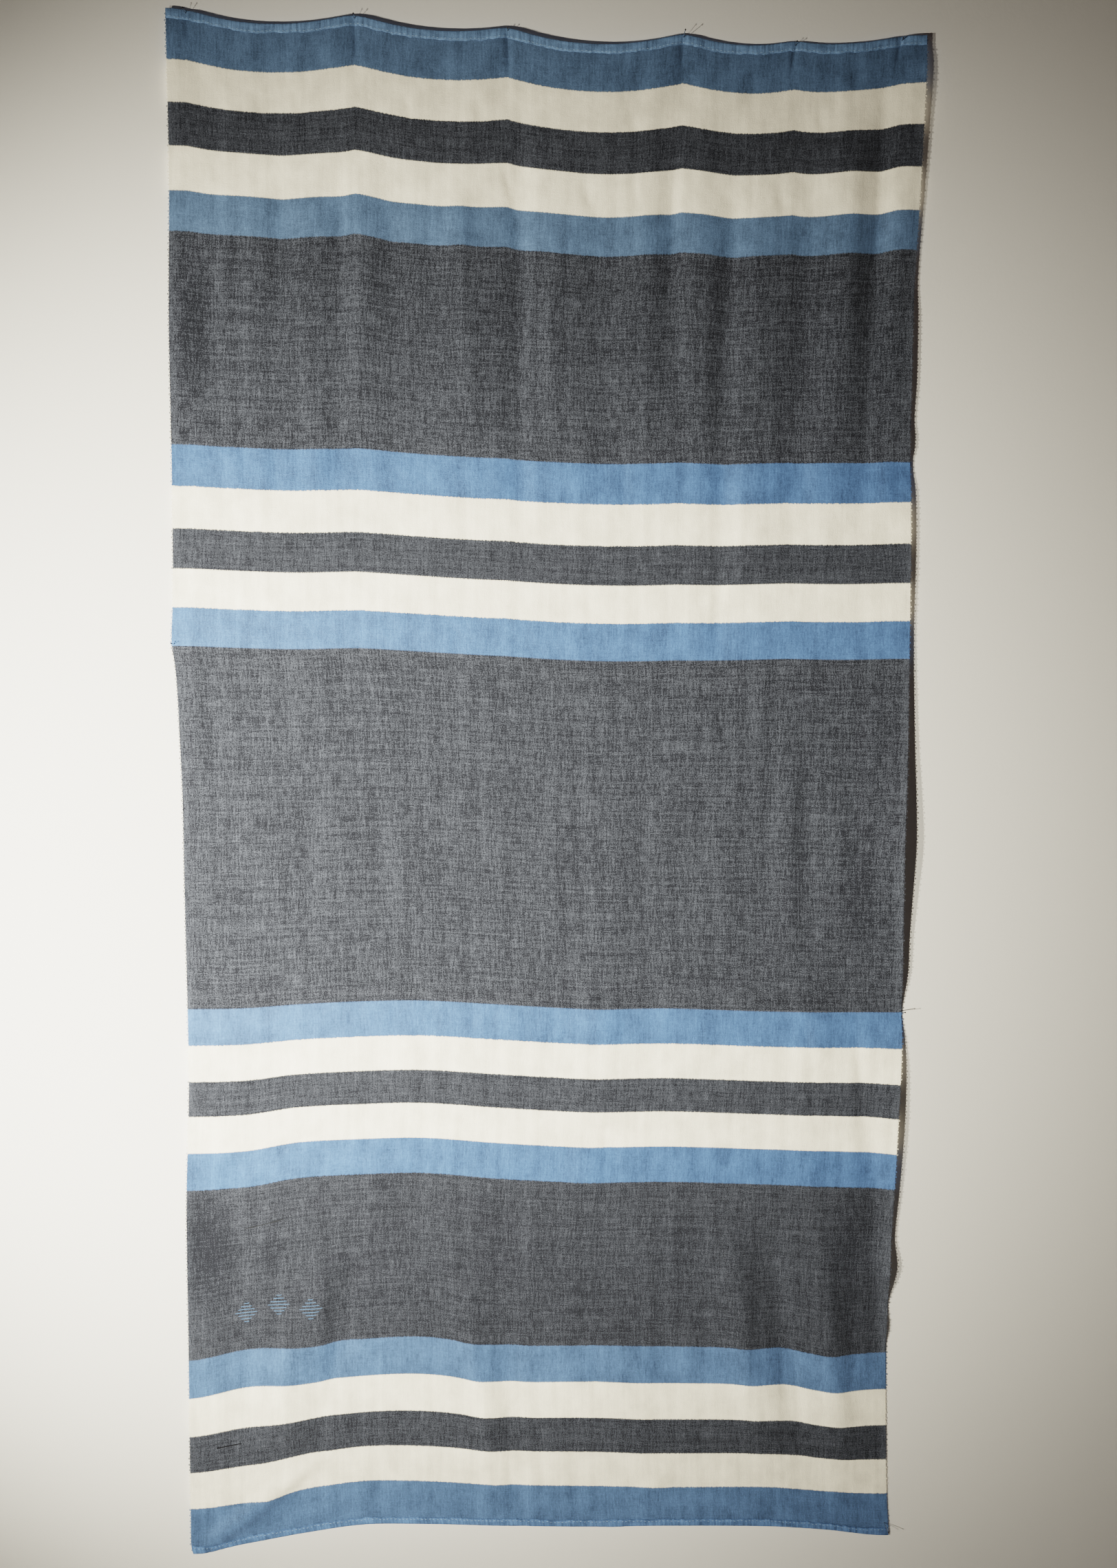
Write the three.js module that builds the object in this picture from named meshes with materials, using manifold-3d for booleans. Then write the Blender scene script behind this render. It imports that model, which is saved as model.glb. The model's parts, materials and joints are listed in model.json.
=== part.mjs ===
// A flat-woven fouta towel, hung by steel pins from a wall.
//
// Millimetres, +Z up. The origin is on the wall's face, at the middle of the
// towel's top edge. X runs to the viewer's right, and the wall's face is the
// plane Y = 0, so the towel and the heads of the pins are on the -Y side.

import * as THREE from 'three';
import { mergeVertices } from 'three/addons/utils/BufferGeometryUtils.js';
import Module from 'manifold-3d';

const wasm = await Module();
wasm.setup();

// Driving dimensions of the cloth

const CLOTH_WIDTH = 960;
const CLOTH_LENGTH = 1983;
const CLOTH_THICKNESS = 1.2;

// Both ends are turned once to the front and sewn down.
const TOP_HEM_DEPTH = 12;
const BOTTOM_HEM_DEPTH = 9;
const HEM_LIFT = 1.2;
const HEM_STEP = 1;

// The cloth hangs close to the wall but never nearer than this.
const LEAST_GAP = 0.8;

// The top hem is drawn in to the wall at each pin.
const DIMPLE_DEPTH = 2.6;
const DIMPLE_WIDTH = 9;
const DIMPLE_FADE = 45;

// The sag between two pins dies away down the cloth.
const SAG_FADE = 320;

// The left edge, as its place across the wall at each depth below the top.
const LEFT_EDGE = [
  { depth: 0, x: -481 },
  { depth: 190, x: -480 },
  { depth: 380, x: -483.5 },
  { depth: 560, x: -483 },
  { depth: 720, x: -484.5 },
  { depth: 781, x: -487.5 },
  { depth: 802, x: -484 },
  { depth: 840, x: -481 },
  { depth: 900, x: -478.6 },
  { depth: 975, x: -476 },
  { depth: 1090, x: -475 },
  { depth: 1345, x: -472.5 },
  { depth: 1500, x: -477.5 },
  { depth: 1690, x: -478 },
  { depth: 1945, x: -479 },
  { depth: 1972, x: -478.8 },
  { depth: 1979, x: -476.4 },
  { depth: 1983, x: -475.5 },
];

// The right edge curls away from the wall between its pins. "curl" and "ripple"
// are added to the gap there: the first fades slowly inwards, the second fast.
const RIGHT_EDGE = [
  { depth: 0, x: 479.5, curl: 1, ripple: 3 },
  { depth: 45, x: 478.5, curl: 3, ripple: 6 },
  { depth: 110, x: 477.5, curl: 3, ripple: 3 },
  { depth: 190, x: 476, curl: 1.5, ripple: 1 },
  { depth: 300, x: 472.3, curl: 0.5, ripple: -0.5 },
  { depth: 350, x: 470.3, curl: 2, ripple: 2.5 },
  { depth: 430, x: 470.5, curl: 3, ripple: 2.5 },
  { depth: 478, x: 471, curl: 2, ripple: 1 },
  { depth: 508, x: 470.8, curl: 2.5, ripple: 3.5 },
  { depth: 532, x: 473, curl: 2.5, ripple: -2.5 },
  { depth: 572, x: 473.2, curl: 3, ripple: 3 },
  { depth: 650, x: 475.3, curl: 4, ripple: 2.5 },
  { depth: 750, x: 476.8, curl: 4, ripple: 0.5 },
  { depth: 900, x: 476.5, curl: 8.5, ripple: 2.5 },
  { depth: 965, x: 474.5, curl: 13, ripple: 4.5 },
  { depth: 1030, x: 472, curl: 17, ripple: 6 },
  { depth: 1090, x: 474.5, curl: 14, ripple: 3.5 },
  { depth: 1150, x: 477, curl: 10, ripple: 2 },
  { depth: 1200, x: 478.5, curl: 6, ripple: 4 },
  { depth: 1251, x: 481.3, curl: 0, ripple: -0.5 },
  { depth: 1290, x: 481.6, curl: 1.5, ripple: 3.5 },
  { depth: 1340, x: 479.5, curl: 4, ripple: 6.5 },
  { depth: 1410, x: 476.6, curl: 5, ripple: 7 },
  { depth: 1500, x: 474.8, curl: 3.5, ripple: 4 },
  { depth: 1560, x: 473.5, curl: 2, ripple: 3 },
  { depth: 1600, x: 470.5, curl: 3, ripple: 12 },
  { depth: 1652, x: 472.8, curl: 0, ripple: 0 },
  { depth: 1683, x: 471.3, curl: 0, ripple: 4.5 },
  { depth: 1712, x: 471.6, curl: 0, ripple: 0 },
  { depth: 1860, x: 475.3, curl: 0, ripple: 0 },
  { depth: 1935, x: 478.4, curl: 0, ripple: 0 },
  { depth: 1983, x: 481.8, curl: 0, ripple: 0 },
];
const CURL_FADE = 90;
const RIPPLE_FADE = 35;

// Where the weft lines are read, from the left edge to the right one.
const STATIONS = {
  leftEdge: -480,
  leftPanel: -400,
  leftFold: -330,
  pinTwo: -247,
  hump: -165,
  pinThree: -55,
  middle: 60,
  pinFour: 168,
  pinFive: 312,
  rightFold: 390,
  rightEdge: 480,
};

// How far a weft line hangs above its flat place at each station, sag apart.
const WEFT_LINES = [
  { depth: 0, leftEdge: 6.5, leftPanel: 4, leftFold: 4, pinTwo: 4.5, hump: -1, pinThree: -6,
    middle: -6, pinFour: -6.5, pinFive: -10, rightFold: -4, rightEdge: -2.5 },
  { depth: 264, leftEdge: 2, leftPanel: 2, leftFold: 1.5, pinTwo: 2, hump: -4, pinThree: -9,
    middle: -11, pinFour: -11.5, pinFive: -11, rightFold: -6, rightEdge: -3 },
  { depth: 529, leftEdge: 2, leftPanel: 1, leftFold: 0, pinTwo: 0, hump: -4, pinThree: -10,
    middle: -12, pinFour: -12.5, pinFive: -11, rightFold: -9, rightEdge: -8 },
  { depth: 783, leftEdge: 0, leftPanel: -1, leftFold: -2, pinTwo: -1, hump: -4, pinThree: -10,
    middle: -14, pinFour: -14, pinFive: -11, rightFold: -11, rightEdge: -10 },
  { depth: 1252, leftEdge: -8, leftPanel: -7, leftFold: -2, pinTwo: 1.5, hump: 2.5, pinThree: -4,
    middle: -10, pinFour: -10, pinFive: -15, rightFold: -16, rightEdge: -17 },
  { depth: 1490, leftEdge: -15, leftPanel: -11, leftFold: 1, pinTwo: 5, hump: 6, pinThree: -4,
    middle: -10, pinFour: -10, pinFive: -15, rightFold: -18, rightEdge: -21 },
  { depth: 1722, leftEdge: -19, leftPanel: -7, leftFold: -2, pinTwo: 8, hump: 10, pinThree: -4,
    middle: -6, pinFour: -9, pinFive: -14, rightFold: -24, rightEdge: -24 },
  { depth: 1923, leftEdge: -26, leftPanel: -16.5, leftFold: -2, pinTwo: 9, hump: 7, pinThree: -1,
    middle: -5, pinFour: -9, pinFive: -12, rightFold: -20, rightEdge: -26 },
  { depth: 1983, leftEdge: -27.5, leftPanel: -15, leftFold: -3, pinTwo: 7.5, hump: 6.3,
    pinThree: 1, middle: -3, pinFour: -4, pinFive: -8, rightFold: -15, rightEdge: -26 },
];

// The gap between the wall and the back of the cloth, before its folds, at the
// left edge, at the middle, at pin five and at the right edge.
const STAND_OFF_STATIONS = { left: -480, middle: 0, pinFive: 312, right: 480 };
const STAND_OFF = [
  { depth: 0, left: 9, middle: 11, pinFive: 4.5, right: 6 },
  { depth: 200, left: 8, middle: 8, pinFive: 5.5, right: 6 },
  { depth: 560, left: 6, middle: 6, pinFive: 6, right: 5 },
  { depth: 790, left: 4, middle: 6, pinFive: 6, right: 5 },
  { depth: 1030, left: 6, middle: 5, pinFive: 6, right: 5 },
  { depth: 1260, left: 8, middle: 5, pinFive: 4, right: 2 },
  { depth: 1500, left: 9, middle: 5, pinFive: 5, right: 4.5 },
  { depth: 1660, left: 9, middle: 5, pinFive: 5, right: 2.2 },
  { depth: 1800, left: 9, middle: 5, pinFive: 4.5, right: 1.5 },
  { depth: 1983, left: 8, middle: 5, pinFive: 4, right: 1.5 },
];

// The soft folds. Each runs from depth "from" to depth "to", with its middle
// going from "top" to "foot" across the cloth. A positive height is a ridge
// towards the viewer and a negative one a trough.
const FOLDS = [
  { from: 60, to: 640, top: -430, foot: -440, width: 17, height: -1.6 },
  { from: 70, to: 620, top: -385, foot: -380, width: 24, height: 2.6 },
  { from: 120, to: 560, top: -338, foot: -340, width: 17, height: -1.8 },
  { from: 80, to: 640, top: -302, foot: -300, width: 20, height: 1.8 },
  { from: 20, to: 700, top: -262, foot: -272, width: 15, height: -2.6 },
  { from: 60, to: 620, top: -236, foot: -228, width: 18, height: 2 },
  { from: 110, to: 520, top: -200, foot: -204, width: 15, height: -1.8 },
  { from: 110, to: 480, top: -168, foot: -172, width: 15, height: 1.5 },
  { from: 150, to: 600, top: -118, foot: -104, width: 30, height: 3.4 },
  { from: 20, to: 780, top: -42, foot: -36, width: 18, height: -3.8 },
  { from: 60, to: 620, top: 14, foot: 22, width: 30, height: 2.8 },
  { from: 150, to: 660, top: 72, foot: 76, width: 18, height: -2 },
  { from: 110, to: 640, top: 120, foot: 122, width: 22, height: 2.2 },
  { from: 30, to: 560, top: 158, foot: 154, width: 13, height: -2.2 },
  { from: 40, to: 640, top: 194, foot: 200, width: 20, height: 2.6 },
  { from: 60, to: 900, top: 236, foot: 222, width: 14, height: -3.4 },
  { from: 120, to: 860, top: 285, foot: 262, width: 26, height: 3 },
  { from: 30, to: 720, top: 334, foot: 322, width: 20, height: -2.8 },
  { from: 20, to: 700, top: 384, foot: 370, width: 22, height: 4.2 },
  { from: 0, to: 640, top: 430, foot: 412, width: 16, height: -4 },
  { from: 0, to: 620, top: 462, foot: 446, width: 18, height: 2.5 },
  { from: 860, to: 1330, top: -60, foot: -20, width: 50, height: 1.5 },
  { from: 900, to: 1500, top: 92, foot: 56, width: 28, height: 2.6 },
  { from: 820, to: 1280, top: 322, foot: 330, width: 12, height: 1.8 },
  { from: 1180, to: 1560, top: 372, foot: 352, width: 26, height: 2.2 },
  { from: 1240, to: 1760, top: 445, foot: 440, width: 20, height: -2.4 },
  { from: 1380, to: 1800, top: 58, foot: 36, width: 22, height: 2.4 },
  { from: 1540, to: 1990, top: -284, foot: -404, width: 34, height: 5.4 },
  { from: 1560, to: 2010, top: -250, foot: -338, width: 20, height: -3.4 },
  { from: 1560, to: 2010, top: -118, foot: -58, width: 26, height: 4.2 },
  { from: 1600, to: 1990, top: -52, foot: -34, width: 18, height: -2.4 },
  { from: 1680, to: 1960, top: 122, foot: 138, width: 28, height: 1.8 },
  { from: 1500, to: 1930, top: 240, foot: 312, width: 28, height: 4.2 },
  { from: 1520, to: 1940, top: 292, foot: 366, width: 20, height: -3.6 },
  { from: 1520, to: 1960, top: 362, foot: 430, width: 28, height: 5 },
];

// How much of a fold's length it takes to rise at its top and sink at its foot.
const FOLD_RISE = 0.3;
const FOLD_SINK = 0.45;

// Driving dimensions of the pins

const PIN_LENGTH = 34;
const PIN_RADIUS = 0.35;
const PIN_POINT_LENGTH = 4;
const PIN_HEAD_RADIUS = 0.9;
const PIN_CLEARANCE = 0.32;
const PIN_SIDES = 8;

// The pins through the top hem, left to right. "sag" is how far the edge hangs
// below a straight line to the next pin, and "reach" how far the pin stands out.
const HEM_PINS = [
  { name: 'hem_pin_1', x: -457, depth: 4, reach: 22, sag: 13.4 },
  { name: 'hem_pin_2', x: -247, depth: 4, reach: 22, sag: 11 },
  { name: 'hem_pin_3', x: -55, depth: 4, reach: 18, sag: 18 },
  { name: 'hem_pin_4', x: 168, depth: 4, reach: 26, sag: 9.4 },
  { name: 'hem_pin_5', x: 312, depth: 5, reach: 15, sag: 8.2 },
  { name: 'hem_pin_6', x: 448, depth: 5, reach: 15, sag: 0 },
];

// The pins through the side edges and the lower right corner. "aside" and "up"
// are how far the head leans to the right of the pin's hole and above it.
const EDGE_PINS = [
  { name: 'left_pin', x: -484, depth: 781, reach: 17, aside: -1, up: 0.5 },
  { name: 'right_pin', x: 478, depth: 1251, reach: 24, aside: 2, up: 4.5 },
  { name: 'lower_right_pin', x: 475.5, depth: 1965, reach: 24, aside: 0, up: 0 },
];

// The pin that lies along the weft low on the left, its head on the left.
const LAID_PIN = { name: 'lower_left_pin', x: -443, depth: 1844 };
const LAID_PIN_GAP = 0.8;

// How finely the sheet is divided

const COLUMN_SPACING = 26;
const PIN_COLUMN_OFFSET = 7;
const ROW_SPACINGS = [
  { to: TOP_HEM_DEPTH, spacing: TOP_HEM_DEPTH },
  { to: TOP_HEM_DEPTH + HEM_STEP, spacing: HEM_STEP },
  { to: 160, spacing: 30 },
  { to: 500, spacing: 43 },
  { to: 860, spacing: 52 },
  { to: 1480, spacing: 52 },
  { to: CLOTH_LENGTH - BOTTOM_HEM_DEPTH - HEM_STEP, spacing: 41 },
  { to: CLOTH_LENGTH - BOTTOM_HEM_DEPTH, spacing: HEM_STEP },
  { to: CLOTH_LENGTH, spacing: BOTTOM_HEM_DEPTH },
];

function smoothStep(low, high, value) {
  const t = Math.min(Math.max((value - low) / (high - low), 0), 1);
  return t * t * (3 - 2 * t);
}

// A smooth curve through knots, flat past both ends.
function curveThrough(knots, values, at) {
  const last = knots.length - 1;
  if (at <= knots[0]) return values[0];
  if (at >= knots[last]) return values[last];
  const i = knots.findIndex((knot) => knot > at) - 1;
  const span = knots[i + 1] - knots[i];
  const slopeAt = (k) => {
    if (k === 0 || k === last) return 0;
    return (values[k + 1] - values[k - 1]) / (knots[k + 1] - knots[k - 1]);
  };
  const t = (at - knots[i]) / span;
  const t2 = t * t;
  const t3 = t2 * t;
  return (
    (2 * t3 - 3 * t2 + 1) * values[i] +
    (t3 - 2 * t2 + t) * span * slopeAt(i) +
    (3 * t2 - 2 * t3) * values[i + 1] +
    (t3 - t2) * span * slopeAt(i + 1)
  );
}

function column(table, name, depth) {
  return curveThrough(table.map((row) => row.depth), table.map((row) => row[name]), depth);
}

// The scallop of the top edge: a parabola from each pin to the next.
function pinSag(x) {
  for (let i = 0; i + 1 < HEM_PINS.length; i += 1) {
    const here = HEM_PINS[i];
    const next = HEM_PINS[i + 1];
    if (x >= here.x && x <= next.x) {
      const u = (x - here.x) / (next.x - here.x);
      return 4 * here.sag * u * (1 - u);
    }
  }
  return 0;
}

function weftRise(x, depth) {
  const names = Object.keys(STATIONS);
  const rises = names.map((name) => column(WEFT_LINES, name, depth));
  const steady = curveThrough(Object.values(STATIONS), rises, x);
  return steady - pinSag(x) * Math.exp(-depth / SAG_FADE);
}

function standOff(x, depth) {
  const gaps = Object.keys(STAND_OFF_STATIONS).map((name) => column(STAND_OFF, name, depth));
  return curveThrough(Object.values(STAND_OFF_STATIONS), gaps, x);
}

function rightEdgeLift(flatX, depth) {
  const inward = CLOTH_WIDTH / 2 - flatX;
  const curl = column(RIGHT_EDGE, 'curl', depth) * Math.exp(-inward / CURL_FADE);
  const ripple = column(RIGHT_EDGE, 'ripple', depth) * Math.exp(-inward / RIPPLE_FADE);
  return curl + ripple;
}

function foldHeight(x, depth) {
  let height = 0;
  for (const fold of FOLDS) {
    const along = (depth - fold.from) / (fold.to - fold.from);
    const middle = fold.top + (fold.foot - fold.top) * along;
    const across = (x - middle) / fold.width;
    const strength = smoothStep(0, FOLD_RISE, along) * (1 - smoothStep(1 - FOLD_SINK, 1, along));
    height += fold.height * strength * Math.exp(-across * across);
  }
  return height;
}

function pinDimple(x, depth) {
  let dimple = 0;
  for (const pin of HEM_PINS) {
    const across = (x - pin.x) / DIMPLE_WIDTH;
    dimple += DIMPLE_DEPTH * Math.exp(-across * across - depth / DIMPLE_FADE);
  }
  return dimple;
}

function hemLift(depth) {
  const fromTop = 1 - smoothStep(TOP_HEM_DEPTH, TOP_HEM_DEPTH + HEM_STEP, depth);
  const bottomHem = CLOTH_LENGTH - BOTTOM_HEM_DEPTH;
  const fromBottom = smoothStep(bottomHem - HEM_STEP, bottomHem, depth);
  return HEM_LIFT * (fromTop + fromBottom);
}

// A point on the back of the cloth, from its flat place.
function backPoint(flatX, depth) {
  const across = flatX / CLOTH_WIDTH + 0.5;
  const left = column(LEFT_EDGE, 'x', depth);
  const right = column(RIGHT_EDGE, 'x', depth);
  const x = left + (right - left) * across;
  const smoothGap = standOff(x, depth) + rightEdgeLift(flatX, depth);
  const gap = smoothGap + foldHeight(x, depth) - pinDimple(x, depth);
  return new THREE.Vector3(x, -Math.max(gap, LEAST_GAP), weftRise(x, depth) - depth);
}

// The unit vector that points out of the cloth, away from the wall.
function outward(flatX, depth) {
  const step = 2;
  const x0 = Math.max(flatX - step, -CLOTH_WIDTH / 2);
  const x1 = Math.min(flatX + step, CLOTH_WIDTH / 2);
  const d0 = Math.max(depth - step, 0);
  const d1 = Math.min(depth + step, CLOTH_LENGTH);
  const across = backPoint(x1, depth).sub(backPoint(x0, depth));
  const down = backPoint(flatX, d1).sub(backPoint(flatX, d0));
  return down.cross(across).normalize();
}

function frontPoint(flatX, depth) {
  const thickness = CLOTH_THICKNESS + hemLift(depth);
  return backPoint(flatX, depth).addScaledVector(outward(flatX, depth), thickness);
}

// Even steps from a list's last value up to a limit.
function fillTo(list, limit, spacing) {
  const start = list[list.length - 1];
  const steps = Math.max(Math.round((limit - start) / spacing), 1);
  for (let i = 1; i <= steps; i += 1) {
    list.push(start + ((limit - start) * i) / steps);
  }
}

function clothColumns() {
  const stops = [];
  for (const pin of HEM_PINS) {
    stops.push(pin.x - PIN_COLUMN_OFFSET, pin.x, pin.x + PIN_COLUMN_OFFSET);
  }
  stops.push(CLOTH_WIDTH / 2);
  const columns = [-CLOTH_WIDTH / 2];
  for (const stop of stops) {
    fillTo(columns, stop, COLUMN_SPACING);
  }
  return columns;
}

function clothRows() {
  const rows = [0];
  for (const band of ROW_SPACINGS) {
    fillTo(rows, band.to, band.spacing);
  }
  return rows;
}

// A closed sheet: the front face, the back face and the rim that joins them.
function sheetGeometry() {
  const columns = clothColumns();
  const rows = clothRows();
  const positions = [];
  for (const point of [frontPoint, backPoint]) {
    for (const depth of rows) {
      for (const x of columns) {
        positions.push(...point(x, depth).toArray());
      }
    }
  }
  const across = columns.length;
  const front = (i, j) => j * across + i;
  const back = (i, j) => rows.length * across + j * across + i;
  const indices = [];
  const quad = (a, b, c, d) => indices.push(a, b, c, a, c, d);
  for (let j = 0; j + 1 < rows.length; j += 1) {
    for (let i = 0; i + 1 < across; i += 1) {
      quad(front(i, j), front(i, j + 1), front(i + 1, j + 1), front(i + 1, j));
      quad(back(i, j), back(i + 1, j), back(i + 1, j + 1), back(i, j + 1));
    }
    const end = across - 1;
    quad(front(0, j), back(0, j), back(0, j + 1), front(0, j + 1));
    quad(front(end, j), front(end, j + 1), back(end, j + 1), back(end, j));
  }
  const foot = rows.length - 1;
  for (let i = 0; i + 1 < across; i += 1) {
    quad(front(i, 0), front(i + 1, 0), back(i + 1, 0), back(i, 0));
    quad(front(i, foot), back(i, foot), back(i + 1, foot), front(i + 1, foot));
  }
  const geometry = new THREE.BufferGeometry();
  geometry.setAttribute('position', new THREE.Float32BufferAttribute(positions, 3));
  geometry.setIndex(indices);
  return geometry;
}

function toManifold(geometry) {
  const bare = geometry.clone();
  bare.deleteAttribute('normal');
  bare.deleteAttribute('uv');
  const merged = mergeVertices(bare);
  const vertProperties = new Float32Array(merged.attributes.position.array);
  const triVerts = new Uint32Array(merged.index.array);
  return new wasm.Manifold(new wasm.Mesh({ numProp: 3, vertProperties, triVerts }));
}

function fromManifold(solid) {
  const mesh = solid.getMesh();
  const geometry = new THREE.BufferGeometry();
  geometry.setAttribute('position', new THREE.BufferAttribute(mesh.vertProperties, 3));
  geometry.setIndex(new THREE.BufferAttribute(mesh.triVerts, 1));
  geometry.computeVertexNormals();
  return geometry;
}

// Where a pin's head is, and the unit vector from there to its point.
function wallPin(pin) {
  const z = weftRise(pin.x, pin.depth) - pin.depth;
  const hole = new THREE.Vector3(pin.x, 0, z);
  const head = hole.clone().add(new THREE.Vector3(pin.aside ?? 0, -pin.reach, pin.up ?? 0));
  const axis = hole.clone().sub(head).normalize();
  return { name: pin.name, head, axis, throughCloth: true };
}

// The laid pin touches nothing: both of its ends stand a little off the cloth.
function laidPin() {
  const gap = LAID_PIN_GAP + PIN_HEAD_RADIUS;
  const ends = [LAID_PIN.x, LAID_PIN.x + PIN_LENGTH].map((x) =>
    frontPoint(x, LAID_PIN.depth).addScaledVector(outward(x, LAID_PIN.depth), gap),
  );
  const axis = ends[1].clone().sub(ends[0]).normalize();
  return { name: LAID_PIN.name, head: ends[0], axis, throughCloth: false };
}

function allPins() {
  return [...HEM_PINS.map(wallPin), ...EDGE_PINS.map(wallPin), laidPin()];
}

// A straight pin along +Y, with its head at the origin.
function pinGeometry() {
  const shankEnd = PIN_LENGTH - PIN_POINT_LENGTH;
  const headSteps = 5;
  const outline = [];
  for (let i = 0; i < headSteps; i += 1) {
    const angle = (Math.PI * i) / headSteps;
    const radius = PIN_HEAD_RADIUS * Math.sin(angle);
    outline.push(new THREE.Vector2(radius, PIN_HEAD_RADIUS * (1 - Math.cos(angle))));
  }
  outline.push(new THREE.Vector2(PIN_RADIUS, 2 * PIN_HEAD_RADIUS));
  outline.push(new THREE.Vector2(PIN_RADIUS, shankEnd));
  outline.push(new THREE.Vector2(0, PIN_LENGTH));
  return new THREE.LatheGeometry(outline, PIN_SIDES);
}

// Turns a shape that lies along +Y to lie along a pin, and puts it at its head.
function alongPin(object, pin) {
  object.position.copy(pin.head);
  object.quaternion.setFromUnitVectors(new THREE.Vector3(0, 1, 0), pin.axis);
  object.updateMatrix();
  return object;
}

function clothMesh() {
  let cloth = toManifold(sheetGeometry());
  const radius = PIN_RADIUS + PIN_CLEARANCE;
  for (const pin of allPins().filter((each) => each.throughCloth)) {
    const drill = new THREE.CylinderGeometry(radius, radius, 2 * PIN_LENGTH, PIN_SIDES);
    drill.applyMatrix4(alongPin(new THREE.Object3D(), pin).matrix);
    cloth = cloth.subtract(toManifold(drill));
  }
  const material = new THREE.MeshStandardMaterial({ color: 0x6f7f90, roughness: 0.95, metalness: 0 });
  const mesh = new THREE.Mesh(fromManifold(cloth), material);
  mesh.name = 'fouta_cloth';
  return mesh;
}

function pinMesh(pin) {
  const material = new THREE.MeshStandardMaterial({ color: 0xb9bcc0, roughness: 0.3, metalness: 1 });
  const mesh = alongPin(new THREE.Mesh(pinGeometry(), material), pin);
  mesh.name = pin.name;
  return mesh;
}

const fouta = new THREE.Group();
fouta.name = 'fouta_with_pins';
fouta.add(clothMesh());
for (const pin of allPins()) {
  fouta.add(pinMesh(pin));
}

export default fouta;
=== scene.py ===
"""The looks of a striped fouta towel that hangs flat from a wall by steel pins.

Metres, +Z up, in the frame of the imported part: the wall's face is the plane Y = 0 and the towel hangs on
its -Y side. The tables are in millimetres on the flat cloth: x from its middle to the right, and depth
down from its top edge.
"""

import json
import math

import bpy
import numpy as np
from mathutils import Matrix, Vector

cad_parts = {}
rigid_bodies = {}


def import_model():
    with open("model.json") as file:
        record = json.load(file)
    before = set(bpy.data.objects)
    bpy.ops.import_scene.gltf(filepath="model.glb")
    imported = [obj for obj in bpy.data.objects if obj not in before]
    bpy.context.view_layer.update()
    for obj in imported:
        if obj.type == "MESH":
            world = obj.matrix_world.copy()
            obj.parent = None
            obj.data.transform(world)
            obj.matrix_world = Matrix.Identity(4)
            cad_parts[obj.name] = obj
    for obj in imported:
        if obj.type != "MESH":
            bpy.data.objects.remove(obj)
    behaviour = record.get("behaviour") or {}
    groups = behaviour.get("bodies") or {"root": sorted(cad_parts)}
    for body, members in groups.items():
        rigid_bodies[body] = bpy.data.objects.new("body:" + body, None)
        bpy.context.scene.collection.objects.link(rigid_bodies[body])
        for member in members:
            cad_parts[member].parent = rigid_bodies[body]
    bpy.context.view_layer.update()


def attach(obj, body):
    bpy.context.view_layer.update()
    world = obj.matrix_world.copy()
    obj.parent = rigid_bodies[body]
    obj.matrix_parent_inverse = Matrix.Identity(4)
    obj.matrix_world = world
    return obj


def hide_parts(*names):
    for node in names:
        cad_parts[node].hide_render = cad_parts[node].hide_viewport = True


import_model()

MM = 0.001


def named_columns(names, rows):
    """A table as one array for each of its named columns."""
    return dict(zip(names.split(), np.array(rows, float).T))


# The cloth's flat size, how far out its two faces lie, and the least gap behind it

CLOTH_WIDTH = 960
CLOTH_LENGTH = 1983
HALF_WIDTH = CLOTH_WIDTH / 2
SHEET_BACK = 0.1
SHEET_FRONT = 1.1
LEAST_GAP = 0.8

# The stripes, from the top edge down: the depths between which each yarn lies. The rest is charcoal

BLUE_STRIPES = [
    (-20, 60), (215, 264), (529, 581), (734, 783),
    (1252, 1300), (1441, 1490), (1722, 1774), (1923, 2010),
]
WHITE_STRIPES = [
    (60, 110), (162, 215), (581, 634), (685, 734),
    (1300, 1347), (1393, 1441), (1774, 1825), (1874, 1923),
]
STRIPE_BLUR = 0.7

# The charcoal stripes where the flecks show less, and how much less

CLOSE_STRIPES = [(110, 162), (634, 685), (1347, 1393), (1490, 1722), (1825, 1874)]
CLOSE_EVENNESS = 0.3
FLECK_SHARE = 0.38

# Where the charcoal is beaten closer and looks darker: soft ovals on the flat cloth

DARK_AREAS = named_columns("x depth half_width half_length share", [
    (-452, 1565, 62, 115, 0.32),
    (-368, 1590, 26, 55, 0.2),
    (-455, 385, 52, 125, 0.2),
    (-60, 1607, 560, 260, 0.12),
    (425, 1570, 50, 170, 0.2),
    (425, 1075, 50, 120, 0.14),
])

# The form in which the cloth hangs, with the same values as the part's source

LEFT_EDGE = named_columns("depth x", [
    (0, -481),
    (190, -480),
    (380, -483.5),
    (560, -483),
    (720, -484.5),
    (781, -487.5),
    (802, -484),
    (840, -481),
    (900, -478.6),
    (975, -476),
    (1090, -475),
    (1345, -472.5),
    (1500, -477.5),
    (1690, -478),
    (1945, -479),
    (1972, -478.8),
    (1979, -476.4),
    (1983, -475.5),
])

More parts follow.
